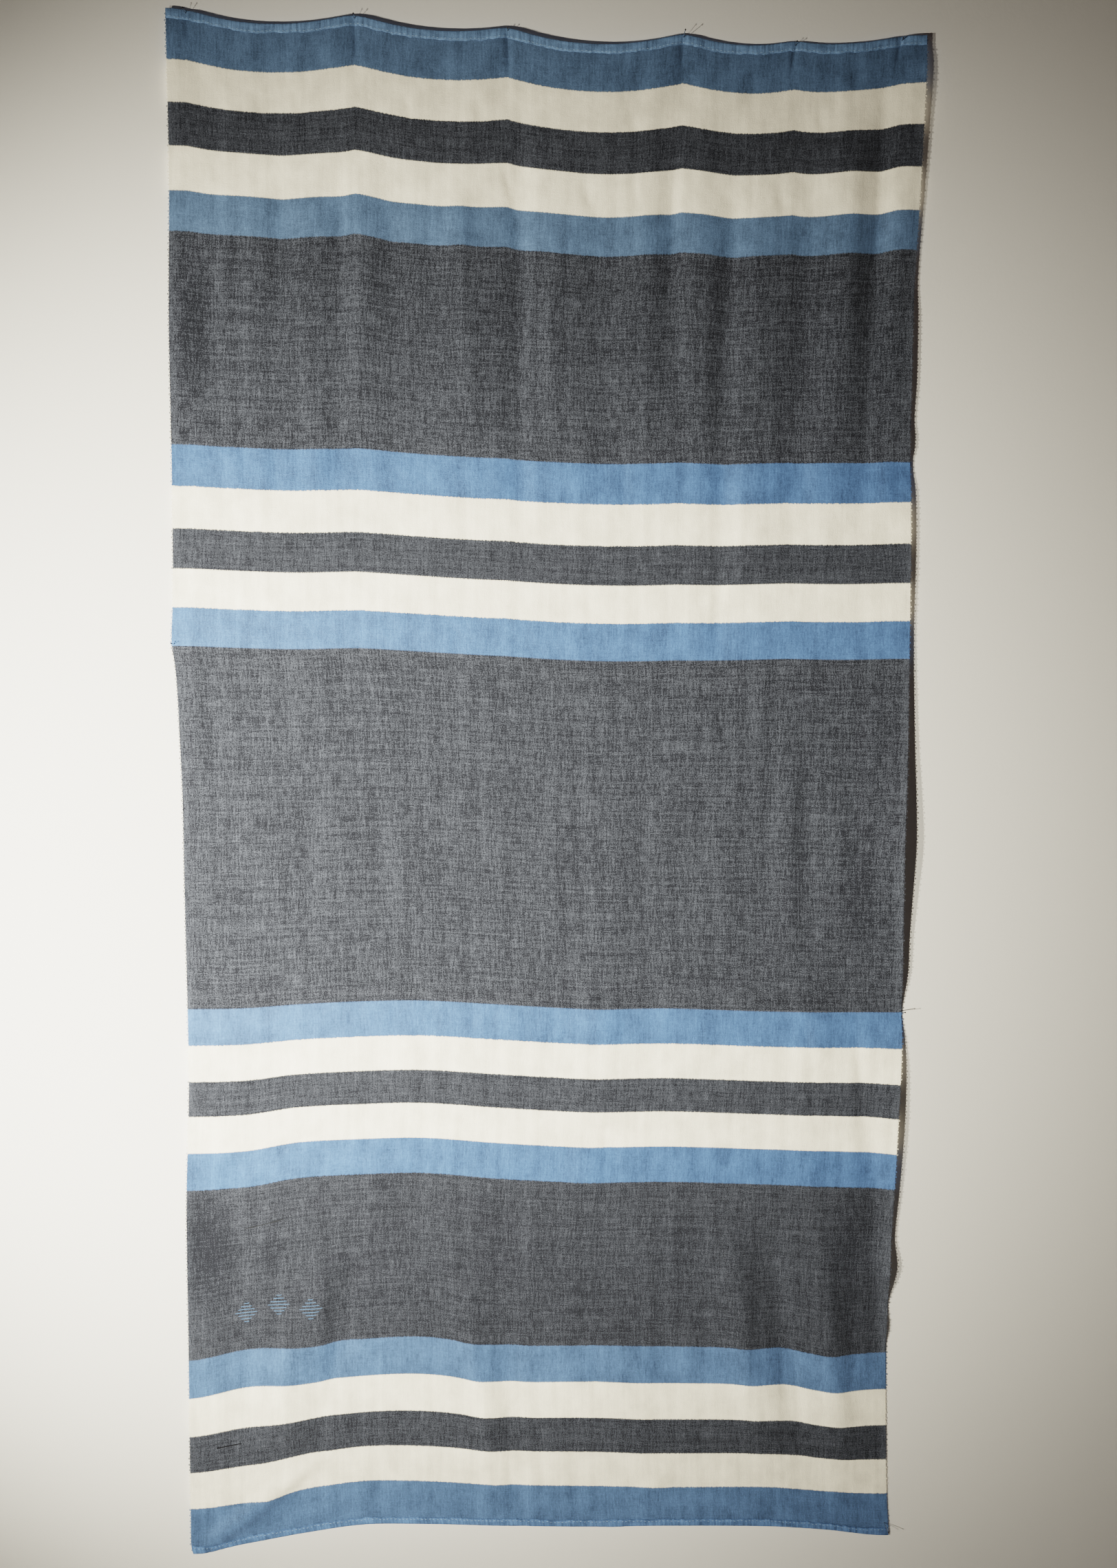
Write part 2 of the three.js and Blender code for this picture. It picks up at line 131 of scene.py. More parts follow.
RIGHT_EDGE = named_columns("depth x curl ripple", [
    (0, 479.5, 1, 3),
    (45, 478.5, 3, 6),
    (110, 477.5, 3, 3),
    (190, 476, 1.5, 1),
    (300, 472.3, 0.5, -0.5),
    (350, 470.3, 2, 2.5),
    (430, 470.5, 3, 2.5),
    (478, 471, 2, 1),
    (508, 470.8, 2.5, 3.5),
    (532, 473, 2.5, -2.5),
    (572, 473.2, 3, 3),
    (650, 475.3, 4, 2.5),
    (750, 476.8, 4, 0.5),
    (900, 476.5, 8.5, 2.5),
    (965, 474.5, 13, 4.5),
    (1030, 472, 17, 6),
    (1090, 474.5, 14, 3.5),
    (1150, 477, 10, 2),
    (1200, 478.5, 6, 4),
    (1251, 481.3, 0, -0.5),
    (1290, 481.6, 1.5, 3.5),
    (1340, 479.5, 4, 6.5),
    (1410, 476.6, 5, 7),
    (1500, 474.8, 3.5, 4),
    (1560, 473.5, 2, 3),
    (1600, 470.5, 3, 12),
    (1652, 472.8, 0, 0),
    (1683, 471.3, 0, 4.5),
    (1712, 471.6, 0, 0),
    (1860, 475.3, 0, 0),
    (1935, 478.4, 0, 0),
    (1983, 481.8, 0, 0),
])
CURL_FADE = 90
RIPPLE_FADE = 35

WEFT_STATIONS = [-480, -400, -330, -247, -165, -55, 60, 168, 312, 390, 480]
WEFT_NAMES = (
    "left_edge left_panel left_fold pin_two hump pin_three "
    "middle pin_four pin_five right_fold right_edge"
)
WEFT_LINES = named_columns("depth " + WEFT_NAMES, [
    (0, 6.5, 4, 4, 4.5, -1, -6, -6, -6.5, -10, -4, -2.5),
    (264, 2, 2, 1.5, 2, -4, -9, -11, -11.5, -11, -6, -3),
    (529, 2, 1, 0, 0, -4, -10, -12, -12.5, -11, -9, -8),
    (783, 0, -1, -2, -1, -4, -10, -14, -14, -11, -11, -10),
    (1252, -8, -7, -2, 1.5, 2.5, -4, -10, -10, -15, -16, -17),
    (1490, -15, -11, 1, 5, 6, -4, -10, -10, -15, -18, -21),
    (1722, -19, -7, -2, 8, 10, -4, -6, -9, -14, -24, -24),
    (1923, -26, -16.5, -2, 9, 7, -1, -5, -9, -12, -20, -26),
    (1983, -27.5, -15, -3, 7.5, 6.3, 1, -3, -4, -8, -15, -26),
])
SAG_FADE = 320

GAP_STATIONS = [-480, 0, 312, 480]
GAP_NAMES = "left middle pin_five right"
STAND_OFF = named_columns("depth " + GAP_NAMES, [
    (0, 9, 11, 4.5, 6),
    (200, 8, 8, 5.5, 6),
    (560, 6, 6, 6, 5),
    (790, 4, 6, 6, 5),
    (1030, 6, 5, 6, 5),
    (1260, 8, 5, 4, 2),
    (1500, 9, 5, 5, 4.5),
    (1660, 9, 5, 5, 2.2),
    (1800, 9, 5, 4.5, 1.5),
    (1983, 8, 5, 4, 1.5),
])

# The main folds: each runs from one depth to another, its middle going from top to foot

FOLD_NAMES = "start end top foot width height"
FOLDS = named_columns(FOLD_NAMES, [
    (60, 640, -430, -440, 17, -1.6),
    (70, 620, -385, -380, 24, 2.6),
    (120, 560, -338, -340, 17, -1.8),
    (80, 640, -302, -300, 20, 1.8),
    (20, 700, -262, -272, 15, -2.6),
    (60, 620, -236, -228, 18, 2),
    (110, 520, -200, -204, 15, -1.8),
    (110, 480, -168, -172, 15, 1.5),
    (150, 600, -118, -104, 30, 3.4),
    (20, 780, -42, -36, 18, -3.8),
    (60, 620, 14, 22, 30, 2.8),
    (150, 660, 72, 76, 18, -2),
    (110, 640, 120, 122, 22, 2.2),
    (30, 560, 158, 154, 13, -2.2),
    (40, 640, 194, 200, 20, 2.6),
    (60, 900, 236, 222, 14, -3.4),
    (120, 860, 285, 262, 26, 3),
    (30, 720, 334, 322, 20, -2.8),
    (20, 700, 384, 370, 22, 4.2),
    (0, 640, 430, 412, 16, -4),
    (0, 620, 462, 446, 18, 2.5),
    (860, 1330, -60, -20, 50, 1.5),
    (900, 1500, 92, 56, 28, 2.6),
    (820, 1280, 322, 330, 12, 1.8),
    (1180, 1560, 372, 352, 26, 2.2),
    (1240, 1760, 445, 440, 20, -2.4),
    (1380, 1800, 58, 36, 22, 2.4),
    (1540, 1990, -284, -404, 34, 5.4),
    (1560, 2010, -250, -338, 20, -3.4),
    (1560, 2010, -118, -58, 26, 4.2),
    (1600, 1990, -52, -34, 18, -2.4),
    (1680, 1960, 122, 138, 28, 1.8),
    (1500, 1930, 240, 312, 28, 4.2),
    (1520, 1940, 292, 366, 20, -3.6),
    (1520, 1960, 362, 430, 28, 5),
])
FOLD_RISE = 0.3
FOLD_SINK = 0.45

# The pins: where each goes through the cloth, and how far its head stands out, aside and up

HEM_PINS = named_columns("x depth reach sag", [
    (-457, 4, 22, 13.4),
    (-247, 4, 22, 11),
    (-55, 4, 18, 18),
    (168, 4, 26, 9.4),
    (312, 5, 15, 8.2),
    (448, 5, 15, 0),
])
EDGE_PINS = {
    "left_pin": dict(x=-484, depth=781, reach=17, aside=-1, up=0.5),
    "right_pin": dict(x=478, depth=1251, reach=24, aside=2, up=4.5),
    "lower_right_pin": dict(x=475.5, depth=1965, reach=24),
}
DIMPLE_DEPTH = 2.6
DIMPLE_WIDTH = 9
DIMPLE_FADE = 45


def smooth_step(low, high, value):
    t = np.clip((value - low) / (high - low), 0, 1)
    return t * t * (3 - 2 * t)


def curve_through(knots, values, at):
    """A smooth curve through the knots, flat past both ends.

    Each value may be an array, with one number for each point.
    """
    knots = np.asarray(knots, float)
    at = np.atleast_1d(np.asarray(at, float))
    values = np.array([np.broadcast_to(value, at.shape) for value in values])
    slopes = np.zeros_like(values)
    slopes[1:-1] = (values[2:] - values[:-2]) / (knots[2:] - knots[:-2])[:, None]
    held = np.clip(at, knots[0], knots[-1])
    i = np.clip(np.searchsorted(knots, held, side="right") - 1, 0, len(knots) - 2)
    span = knots[i + 1] - knots[i]
    t = (held - knots[i]) / span
    point = np.arange(len(at))
    return (
        (2 * t**3 - 3 * t**2 + 1) * values[i, point]
        + (t**3 - 2 * t**2 + t) * span * slopes[i, point]
        + (3 * t**2 - 2 * t**3) * values[i + 1, point]
        + (t**3 - t**2) * span * slopes[i + 1, point]
    )


def column(table, name, depth):
    return curve_through(table["depth"], table[name], depth)


def pin_sag(x):
    """The scallop of the top edge: a parabola from each hem pin to the next."""
    sag = np.zeros_like(x)
    for here, after, drop in zip(HEM_PINS["x"], HEM_PINS["x"][1:], HEM_PINS["sag"]):
        u = np.clip((x - here) / (after - here), 0, 1)
        sag += 4 * drop * u * (1 - u)
    return sag


def weft_rise(x, depth):
    """How far a weft line hangs above its flat place."""
    rises = [column(WEFT_LINES, name, depth) for name in WEFT_NAMES.split()]
    return curve_through(WEFT_STATIONS, rises, x) - pin_sag(x) * np.exp(-depth / SAG_FADE)


def stand_off(flat_x, x, depth):
    """The gap between the wall and the back of the cloth, before its folds."""
    gaps = [column(STAND_OFF, name, depth) for name in GAP_NAMES.split()]
    inward = HALF_WIDTH - flat_x
    curl = column(RIGHT_EDGE, "curl", depth) * np.exp(-inward / CURL_FADE)
    ripple = column(RIGHT_EDGE, "ripple", depth) * np.exp(-inward / RIPPLE_FADE)
    return curve_through(GAP_STATIONS, gaps, x) + curl + ripple


def fold_height(table, x, depth):
    """The sum of a table's folds: a ridge is positive, towards the room, and a trough negative."""
    height = np.zeros_like(x)
    for start, end, top, foot, width, rise in zip(*table.values()):
        along = (depth - start) / (end - start)
        across = (x - (top + (foot - top) * along)) / width
        strength = smooth_step(0, FOLD_RISE, along) * (1 - smooth_step(1 - FOLD_SINK, 1, along))
        height += rise * strength * np.exp(-across * across)
    return height


def pin_dimple(x, depth):
    dimple = np.zeros_like(x)
    for pin_x in HEM_PINS["x"]:
        across = (x - pin_x) / DIMPLE_WIDTH
        dimple += DIMPLE_DEPTH * np.exp(-across * across - depth / DIMPLE_FADE)
    return dimple


# The creases that are too fine for the part's solid

CREASES = named_columns(FOLD_NAMES, [
    (-4, 46, -457, -455, 3.2, -1.5),
    (-4, 60, -247, -245, 3, -1.9),
    (-4, 66, -55, -53, 3.2, -1.9),
    (-4, 60, 168, 166, 3, -1.6),
    (-4, 44, 314, 306, 3, -1.7),
    (-4, 44, 449, 440, 3, -1.7),
    (72, 128, -370, -361, 5.5, -1.6),
    (72, 128, -323, -315, 6, -1.8),
    (76, 130, -183, -175, 5.5, -1.7),
    (74, 126, -97, -84, 6.5, -1.5),
    (68, 124, 99, 107, 6, -1.5),
    (70, 126, 343, 352, 6, -1.6),
    (156, 224, -62, -44, 7, -1.9),
    (156, 224, 38, 60, 8, -1.6),
    (156, 224, 104, 113, 7, -1.5),
    (156, 224, 288, 305, 8, -1.8),
    (130, 340, -338, -342, 9, -1.5),
    (140, 570, -246, -242, 10, 2.6),
    (200, 490, -204, -196, 8, -1.4),
    (150, 500, -118, -106, 13, 4.4),
    (100, 520, -45, -36, 9, -1.4),
    (190, 520, -8, 0, 13, 1.3),
    (190, 330, 121, 124, 10, 1.4),
    (160, 340, 156, 153, 8, -1.8),
    (120, 520, 192, 198, 14, 0.9),
    (70, 490, 239, 232, 7, -0.7),
    (180, 520, 272, 268, 13, 1.4),
    (30, 430, 391, 388, 12, 1.6),
    (20, 430, 429, 424, 9, -1.6),
    (250, 540, -437, -434, 22, -3.6),
    (500, 620, -405, -402, 9, 1),
    (500, 620, -352, -348, 9, -1),
    (500, 620, -298, -300, 10, 1),
    (490, 620, 96, 100, 8, -1),
    (490, 620, 352, 350, 10, 1.2),
    (500, 620, 446, 440, 9, 1.3),
    (840, 1130, -431, -428, 16, -1.9),
    (760, 1200, -214, -200, 14, 1.1),
    (820, 1130, 342, 352, 12, -1.5),
    (930, 1310, 404, 445, 12, -1.8),
    (1230, 1490, 344, 379, 8, -1.3),
    (1230, 1490, 414, 441, 9, -1.8),
    (1384, 1504, 58, 120, 6, -1.7),
    (1486, 1630, 77, 65, 6, -1.2),
    (1440, 1720, -427, -406, 19, -2.7),
    (1440, 1720, -476, -474, 12, 1.3),
    (1560, 1900, -296, -306, 15, 3.2),
    (1500, 1800, -262, -262, 10, -1.6),
    (1560, 1910, -123, -70, 12, 1.5),
    (1700, 1830, 68, 71, 7, -0.9),
    (1470, 1960, 242, 312, 14, 1.8),
    (1490, 1960, 298, 372, 12, -1.7),
    (1410, 1960, 360, 425, 16, 2.4),
    (1430, 1820, 450, 463, 14, -2.2),
    (1860, 2012, -276, -510, 22, 7),
    (1880, 2010, 192, 70, 16, 1.8),
    (1880, 2010, -52, -20, 9, -1.2),
])

# Small rises of the weft lines, each about a place on the cloth

WEFT_TRIMS = named_columns("x depth width length rise", [(-392, 1765, 75, 85, 5)])


def weft_trim(x, depth):
    rise = np.zeros_like(x)
    for middle, level, width, length, height in zip(*WEFT_TRIMS.values()):
        rise += height * np.exp(-(((x - middle) / width) ** 2) - ((depth - level) / length) ** 2)
    return rise


def flat_to_wall(flat_x, depth):
    """The cloth's place across the wall."""
    left = column(LEFT_EDGE, "x", depth)
    right = column(RIGHT_EDGE, "x", depth)
    return left + (right - left) * (flat_x / CLOTH_WIDTH + 0.5)


def back_point(flat_x, depth):
    """Points on the back of the cloth, in millimetres, from their flat places."""
    x = flat_to_wall(flat_x, depth)
    gap = stand_off(flat_x, x, depth) + fold_height(FOLDS, x, depth) - pin_dimple(x, depth)
    gap += fold_height(CREASES, x, depth)
    height = weft_rise(x, depth) + weft_trim(x, depth) - depth
    return np.stack([x, -np.maximum(gap, LEAST_GAP), height], 1)


def unit(vectors):
    return vectors / np.linalg.norm(vectors, axis=-1, keepdims=True)


def cloth_frame(flat_x, depth, step=2.0):
    """Unit vectors across the cloth, down it and out of it towards the room."""
    across = back_point(np.minimum(flat_x + step, HALF_WIDTH), depth)
    across = across - back_point(np.maximum(flat_x - step, -HALF_WIDTH), depth)
    down = back_point(flat_x, np.minimum(depth + step, CLOTH_LENGTH))
    down = down - back_point(flat_x, np.maximum(depth - step, 0))
    out = unit(np.cross(down, across))
    return unit(across), unit(down), out


def on_cloth(flat_x, depth, lift):
    """Points that far out from the back of the cloth. Depths past an edge go on straight."""
    flat_x, depth, lift = np.broadcast_arrays(*(np.asarray(v, float) for v in (flat_x, depth, lift)))
    shape = flat_x.shape
    flat_x, depth, lift = flat_x.ravel(), depth.ravel(), lift.ravel()
    held = np.clip(depth, 0, CLOTH_LENGTH)
    across, down, out = cloth_frame(flat_x, held)
    points = back_point(flat_x, held) + down * (depth - held)[:, None] + out * lift[:, None]
    return points.reshape(*shape, 3)


# Making meshes

FLAT_MAP = "Flat"


def add_flat_map(mesh, flat):
    """Keeps each vertex's flat place, in metres from the cloth's top left corner."""
    layer = mesh.uv_layers.new(name=FLAT_MAP)
    vertex_of = np.empty(len(mesh.loops), np.int32)
    mesh.loops.foreach_get("vertex_index", vertex_of)
    layer.data.foreach_set("uv", np.asarray(flat, np.float32)[vertex_of].ravel())


def flat_place(flat_x, depth):
    return np.stack([(flat_x + HALF_WIDTH) * MM, depth * MM], -1).reshape(-1, 2)


SHARP_ANGLE = 60


def make_object(name, points, faces, materials, flat=None, sharp_angle=SHARP_ANGLE):
    """A smooth mesh object from points in millimetres."""
    mesh = bpy.data.meshes.new(name)
    mesh.from_pydata((np.asarray(points).reshape(-1, 3) * MM).tolist(), [], faces)
    mesh.shade_smooth()
    mesh.set_sharp_from_angle(angle=math.radians(sharp_angle))
    if flat is not None:
        add_flat_map(mesh, flat)
    for material in materials:
        mesh.materials.append(material)
    made = bpy.data.objects.new(name, mesh)
    bpy.context.scene.collection.objects.link(made)
    return made


def add_piece(name, points, faces, materials, flat=None, nodes=(), sharp_angle=SHARP_ANGLE):
    """A piece of the towel: it rides on the part's one body."""
    piece = make_object(name, points, faces, materials, flat, sharp_angle)
    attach(piece, "root")
    if nodes:
        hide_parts(*nodes)
    return piece


def grid_faces(rows, columns, first=0, flipped=False):
    """Quads over a grid of vertices that is stored row by row."""
    j, i = np.meshgrid(np.arange(rows - 1), np.arange(columns - 1), indexing="ij")
    a = (first + j * columns + i).ravel()
    quads = np.stack([a, a + columns, a + columns + 1, a + 1], 1)
    if flipped:
        quads = quads[:, ::-1]
    return quads.tolist()


def grid_rim(rows, columns):
    """The outermost vertices of a grid, once around."""
    right = [j * columns + columns - 1 for j in range(1, rows)]
    foot = [(rows - 1) * columns + i for i in range(columns - 2, -1, -1)]
    left = [j * columns for j in range(rows - 2, 0, -1)]
    return list(range(columns)) + right + foot + left


def closed_sheet(flat_x, depth, front, back):
    """The points, faces and flat places of the cloth between two heights over a grid."""
    rows, columns = flat_x.shape
    count = flat_x.size
    faces = grid_faces(rows, columns) + grid_faces(rows, columns, count, flipped=True)
    rim = grid_rim(rows, columns)
    for a, b in zip(rim, rim[1:] + rim[:1]):
        faces.append([a, b, b + count, a + count])
    points = np.concatenate([on_cloth(flat_x, depth, lift).reshape(-1, 3) for lift in (front, back)])
    return points, faces, np.concatenate([flat_place(flat_x, depth)] * 2)


def ring_faces(rings, sides, first=0, capped=True):
    """Quads that join closed rings of vertices one after another, with a face over each end."""
    k, s = np.meshgrid(np.arange(rings - 1), np.arange(sides), indexing="ij")
    a = first + k * sides + s
    b = first + k * sides + (s + 1) % sides
    quads = np.stack([a, b, b + sides, a + sides], -1).reshape(-1, 4).tolist()
    if capped:
        last = first + (rings - 1) * sides
        quads.append([first + s for s in range(sides)][::-1])
        quads.append([last + s for s in range(sides)])
    return quads


def tubes(paths, up, radius, sides, flatness=1.0):
    """Closed tubes along many paths at once. up points out of the cloth, square to the paths."""
    paths = np.asarray(paths, float)
    along = unit(np.gradient(paths, axis=1))
    up = np.broadcast_to(up, paths.shape)
    aside = unit(np.cross(along, up))
    lifted = unit(np.cross(aside, along))
    angles = 2 * np.pi * np.arange(sides) / sides
    radius = np.broadcast_to(np.asarray(radius, float), paths.shape[:2])[..., None, None]
    ring = aside[:, :, None] * np.cos(angles)[:, None]
    ring = ring + lifted[:, :, None] * np.sin(angles)[:, None] * flatness
    points = paths[:, :, None] + ring * radius
    count, rings = paths.shape[:2]
    faces = []
    for n in range(count):
        faces += ring_faces(rings, sides, n * rings * sides)
    return points.reshape(-1, 3), faces


LAST_STEP_SHARE = 1.4


def graded_steps(low, high, spacing_at):
    """Steps from low to high, as far apart as the spacing there says."""
    steps = [low]
    while steps[-1] + LAST_STEP_SHARE * spacing_at(steps[-1]) < high:
        steps.append(steps[-1] + spacing_at(steps[-1]))
    return np.array(steps + [high])


# Materials

BLUE_YARN = (0.091, 0.166, 0.307)
# A greyer blue for the top two blue stripes, and half of it for the lowest two: painted shade, the blue as
# it looks in the dimmer, warmer light at the top and bottom
SHADE_PAINTED_BLUE_YARN = (0.106, 0.165, 0.25)
SHADE_PAINTED_BLUE_STRIPES = [(-20, 62), (213, 266)]
HALF_SHADE_PAINTED_STRIPES = [(1720, 1776), (1921, 2010)]
WHITE_YARN = (0.82, 0.765, 0.645)
CHARCOAL_YARN = (0.0247, 0.0266, 0.0332)
CHARCOAL_FLECK = (0.106, 0.1155, 0.1345)
# The hems show the cloth's reverse face; the top hem's blue is set lighter than the bottom's, a painted
# highlight for the light its thick fold catches
TOP_HEM_BLUE_PAINTED_HIGHLIGHT = (0.155, 0.245, 0.375)
BOTTOM_HEM_BLUE = (0.11, 0.19, 0.33)
LIGHT_THREAD = (0.34, 0.45, 0.56)
FLOAT_YARN = (0.12, 0.22, 0.36)
DARK_YARN = (0.02, 0.021, 0.024)
PIN_SHANK = (0.55, 0.54, 0.53)
PIN_HEAD = (0.09, 0.08, 0.075)
# Nearly black steel for the laid pin: its own dark head, and painted shade for the slit and shadow along its
# shank and round its head
PIN_STEEL_AND_PAINTED_SHADE = (0.013, 0.012, 0.012)

# The Mix node's sockets for colours: its factor and two colours, and its result

MIX_INPUTS = (0, 6, 7)
MIX_RESULT = 2


class Nodes:
    """A short way to add a material's nodes and to link them."""

    def __init__(self, name):
        self.material = bpy.data.materials.new(name)
        self.material.use_nodes = True
        self.tree = self.material.node_tree
        self.tree.nodes.clear()

    def add(self, kind, inputs=None, **settings):
        node = self.tree.nodes.new(kind)
        for key, value in settings.items():
            setattr(node, key, value)
        for key, value in (inputs or {}).items():
            self.feed(node.inputs[key], value)
        return node

    def feed(self, socket, value):
        if isinstance(value, bpy.types.NodeSocket):
            self.tree.links.new(value, socket)
        else:
            socket.default_value = value

    def math(self, operation, *values, clamp=False):
        node = self.add("ShaderNodeMath", operation=operation, use_clamp=clamp)
        for socket, value in zip(node.inputs, values):
            self.feed(socket, value)
        return node.outputs[0]

    def mix(self, factor, first, second):
        node = self.add("ShaderNodeMix", data_type="RGBA")
        for socket, value in zip(MIX_INPUTS, (factor, first, second)):
            self.feed(node.inputs[socket], value)
        return node.outputs[MIX_RESULT]

    def tint(self, colour, factor):
        """The colour times a number from a socket."""
        node = self.add("ShaderNodeVectorMath", operation="SCALE")
        self.feed(node.inputs[0], colour)
        self.feed(node.inputs["Scale"], factor)
        return node.outputs[0]

    def flat(self):
        return self.add("ShaderNodeUVMap", uv_map=FLAT_MAP).outputs[0]

    def grain(self, across, down, detail=0.0, shift=0.0):
        """Noise with grains of that size in millimetres, across and down the flat cloth."""
        scale = (1 / (across * MM), 1 / (down * MM), 1)
        mapped = self.add(
            "ShaderNodeMapping",
            {"Vector": self.flat(), "Scale": scale, "Location": (shift, shift, 0)},
        )
        noise = self.add(
            "ShaderNodeTexNoise",
            {"Vector": mapped.outputs[0], "Scale": 1.0, "Detail": detail},
            noise_dimensions="2D",
        )
        return noise.outputs[0]

    def grains(self, table):
        """A named noise for each row of a table of grain sizes."""
        return {name: self.grain(**size) for name, size in table.items()}

    def object_noise(self, scale, detail):
        """Noise with so many grains to a metre of the object's own space."""
        place = self.add("ShaderNodeTexCoord").outputs["Object"]
        noise = self.add("ShaderNodeTexNoise", {"Vector": place, "Scale": scale, "Detail": detail})
        return noise.outputs[0]

    def bump(self, height, strength, distance, **inputs):
        """The normal of a relief that is so many millimetres deep."""
        inputs = {"Height": height, "Strength": strength, "Distance": distance * MM, **inputs}
        return self.add("ShaderNodeBump", inputs).outputs[0]

    def spread(self, value, low, high):
        """A number from 0 to 1 as value goes from low to high."""
        node = self.add("ShaderNodeMapRange", {"Value": value, "From Min": low, "From Max": high})
        return node.outputs[0]

    def inside(self, depth, stripes):
        """1 where the depth lies in one of the stripes and 0 elsewhere, with soft ends."""
        total = 0.0
        for start, end in stripes:
            rise = self.spread(depth, (start - STRIPE_BLUR) * MM, (start + STRIPE_BLUR) * MM)
            fall = self.spread(depth, (end - STRIPE_BLUR) * MM, (end + STRIPE_BLUR) * MM)
            total = self.math("SUBTRACT", self.math("ADD", total, rise), fall)
        return total

    def oval(self, across, depth, x, middle, half_width, half_length):
        """1 at the middle of a soft oval on the flat cloth, and 0 from its rim on."""
        aside = self.math("SUBTRACT", across, (x + HALF_WIDTH) * MM)
        aside = self.math("DIVIDE", aside, half_width * MM)
        along = self.math("SUBTRACT", depth, middle * MM)
        along = self.math("DIVIDE", along, half_length * MM)
        aside = self.math("MULTIPLY", aside, aside)
        far = self.math("ADD", aside, self.math("MULTIPLY", along, along))
        near = self.math("SUBTRACT", 1.0, far, clamp=True)
        return self.math("MULTIPLY", near, near)

    def scaled(self, value, factor, start):
        """The value times a factor, counted from start."""
        return self.math("ADD", self.math("MULTIPLY", value, factor), start)

    def swing(self, noise, size):
        """The noise about zero, so many times as strong."""
        return self.math("MULTIPLY", self.math("SUBTRACT", noise, 0.5), size)

    def total(self, *values):
        result = values[0]
        for value in values[1:]:
            result = self.math("ADD", result, value)
        return result

    def swings(self, noises, sizes):
        """The sum of the named noises about zero, each so many times as strong."""
        return self.total(*(self.swing(noises[name], size) for name, size in sizes.items()))

    def shares(self, noises, sizes):
        """The sum of the named noises, each times its own share."""
        return self.total(*(self.math("MULTIPLY", noises[name], size) for name, size in sizes.items()))

    def surface(self, **inputs):
        shader = self.add("ShaderNodeBsdfPrincipled", {k.replace("_", " "): v for k, v in inputs.items()})
        self.add("ShaderNodeOutputMaterial", {"Surface": shader.outputs[0]})
        return self.material


def opaque(colour):
    return (*colour, 1)


# The weave: noises with grains of that size in millimetres, across and down the flat cloth

WEAVE_NOISES = dict(
    grain=dict(across=1.5, down=1.5),
    clump=dict(across=2.6, down=5.5, detail=1.0, shift=17.7),
    warp=dict(across=2.3, down=19, detail=1.0, shift=7.3),
    broad_warp=dict(across=15, down=240, detail=2.0, shift=3.1),
    weft=dict(across=17, down=2.3, detail=1.0, shift=12.7),
    broad_weft=dict(across=150, down=3.5, detail=1.0, shift=5.9),
    patch=dict(across=30, down=34, detail=2.0, shift=30.3),
    stripe_edge=dict(across=1.3, down=9, shift=21.0),
    crumple=dict(across=22, down=34, detail=2.0, shift=41.0),
)
TWILL_PITCH = 2.0
STRIPE_WAVER = 1.6
HALF_PAINTED_SHADE = 0.5

# How much each noise counts in the flecks, in the yarn's unevenness and in the relief

FLECK_SWINGS = dict(grain=1.25, clump=0.4, warp=0.95, weft=0.6, broad_warp=0.42, broad_weft=0.6)
FINE_SWINGS = dict(grain=0.45, clump=0.4, warp=0.45, weft=0.25)
TWILL_SWING = 0.05
BROAD_SWINGS = dict(patch=0.6, broad_warp=0.55)
RELIEF_SHARES = dict(grain=0.8, warp=0.4, weft=0.4, twill=0.12)
CRUMPLE_SHARES = dict(crumple=0.7, patch=0.5)

# How strong the fine and the broad unevenness are in charcoal, and what blue and white add to that

FINE_SHARE = dict(charcoal=0.35, blue=0.6, white=-0.17)
BROAD_SHARE = dict(charcoal=0.3, blue=0.7, white=0.25)

# The selvedges have more flecks, which start so far inside the edge and have full strength near it

SELVEDGE_START = 14
SELVEDGE_FULL = 3
SELVEDGE_FLECKS = 0.22

CLOTH_ROUGHNESS = 0.88
BLUE_SMOOTHNESS = 0.28
HEM_NOISES = dict(
    warp=dict(across=2.6, down=24, detail=2.0, shift=9.0),
    patch=dict(across=22, down=9, detail=2.0, shift=15.0),
    salt=dict(across=1.4, down=1.6, detail=1.0, shift=4.0),
)
HEM_SWINGS = dict(warp=1.0, patch=0.9, salt=0.4)
HEM_SHARES = dict(salt=1.0, warp=0.8)
CRUMPLE_DEPTH = 1.6
RELIEF_DEPTH = 0.3
RELIEF_STRENGTH = 0.6


def weave_noises(n, across, depth):
    noises = n.grains(WEAVE_NOISES)
    diagonal = n.math("ADD", across, depth)
    noises["twill"] = n.math("SINE", n.math("MULTIPLY", diagonal, 2 * math.pi / (TWILL_PITCH * MM)))
    return noises


def fleck_share(n, noises, across, depth, close):
    """How much of the light warp shows in the charcoal."""
    fleck = n.swings(noises, FLECK_SWINGS)
    evened = n.math("SUBTRACT", 1.0, n.math("MULTIPLY", close, CLOSE_EVENNESS))
    fleck = n.scaled(fleck, evened, FLECK_SHARE)
    for *oval, share in zip(*DARK_AREAS.values()):
        dark = n.math("MULTIPLY", n.oval(across, depth, *oval), share)
        fleck = n.math("SUBTRACT", fleck, dark)
    from_middle = n.math("ABSOLUTE", n.math("SUBTRACT", across, HALF_WIDTH * MM))
    start, full = (HALF_WIDTH - SELVEDGE_START) * MM, (HALF_WIDTH - SELVEDGE_FULL) * MM
    selvedge = n.spread(from_middle, start, full)
    return n.math("ADD", fleck, n.math("MULTIPLY", selvedge, SELVEDGE_FLECKS), clamp=True)


def by_yarn(n, shares, blue, white):
    with_blue = n.scaled(blue, shares["blue"], shares["charcoal"])
    return n.scaled(white, shares["white"], with_blue)


def yarn_shade(n, noises, blue, white):
    """How light the yarn is, about 1."""
    fine = n.math("ADD", n.swings(noises, FINE_SWINGS), n.math("MULTIPLY", noises["twill"], TWILL_SWING))
    fine = n.math("MULTIPLY", fine, by_yarn(n, FINE_SHARE, blue, white))
    broad = n.math("MULTIPLY", n.swings(noises, BROAD_SWINGS), by_yarn(n, BROAD_SHARE, blue, white))
    return n.total(1.0, n.math("ADD", fine, broad))


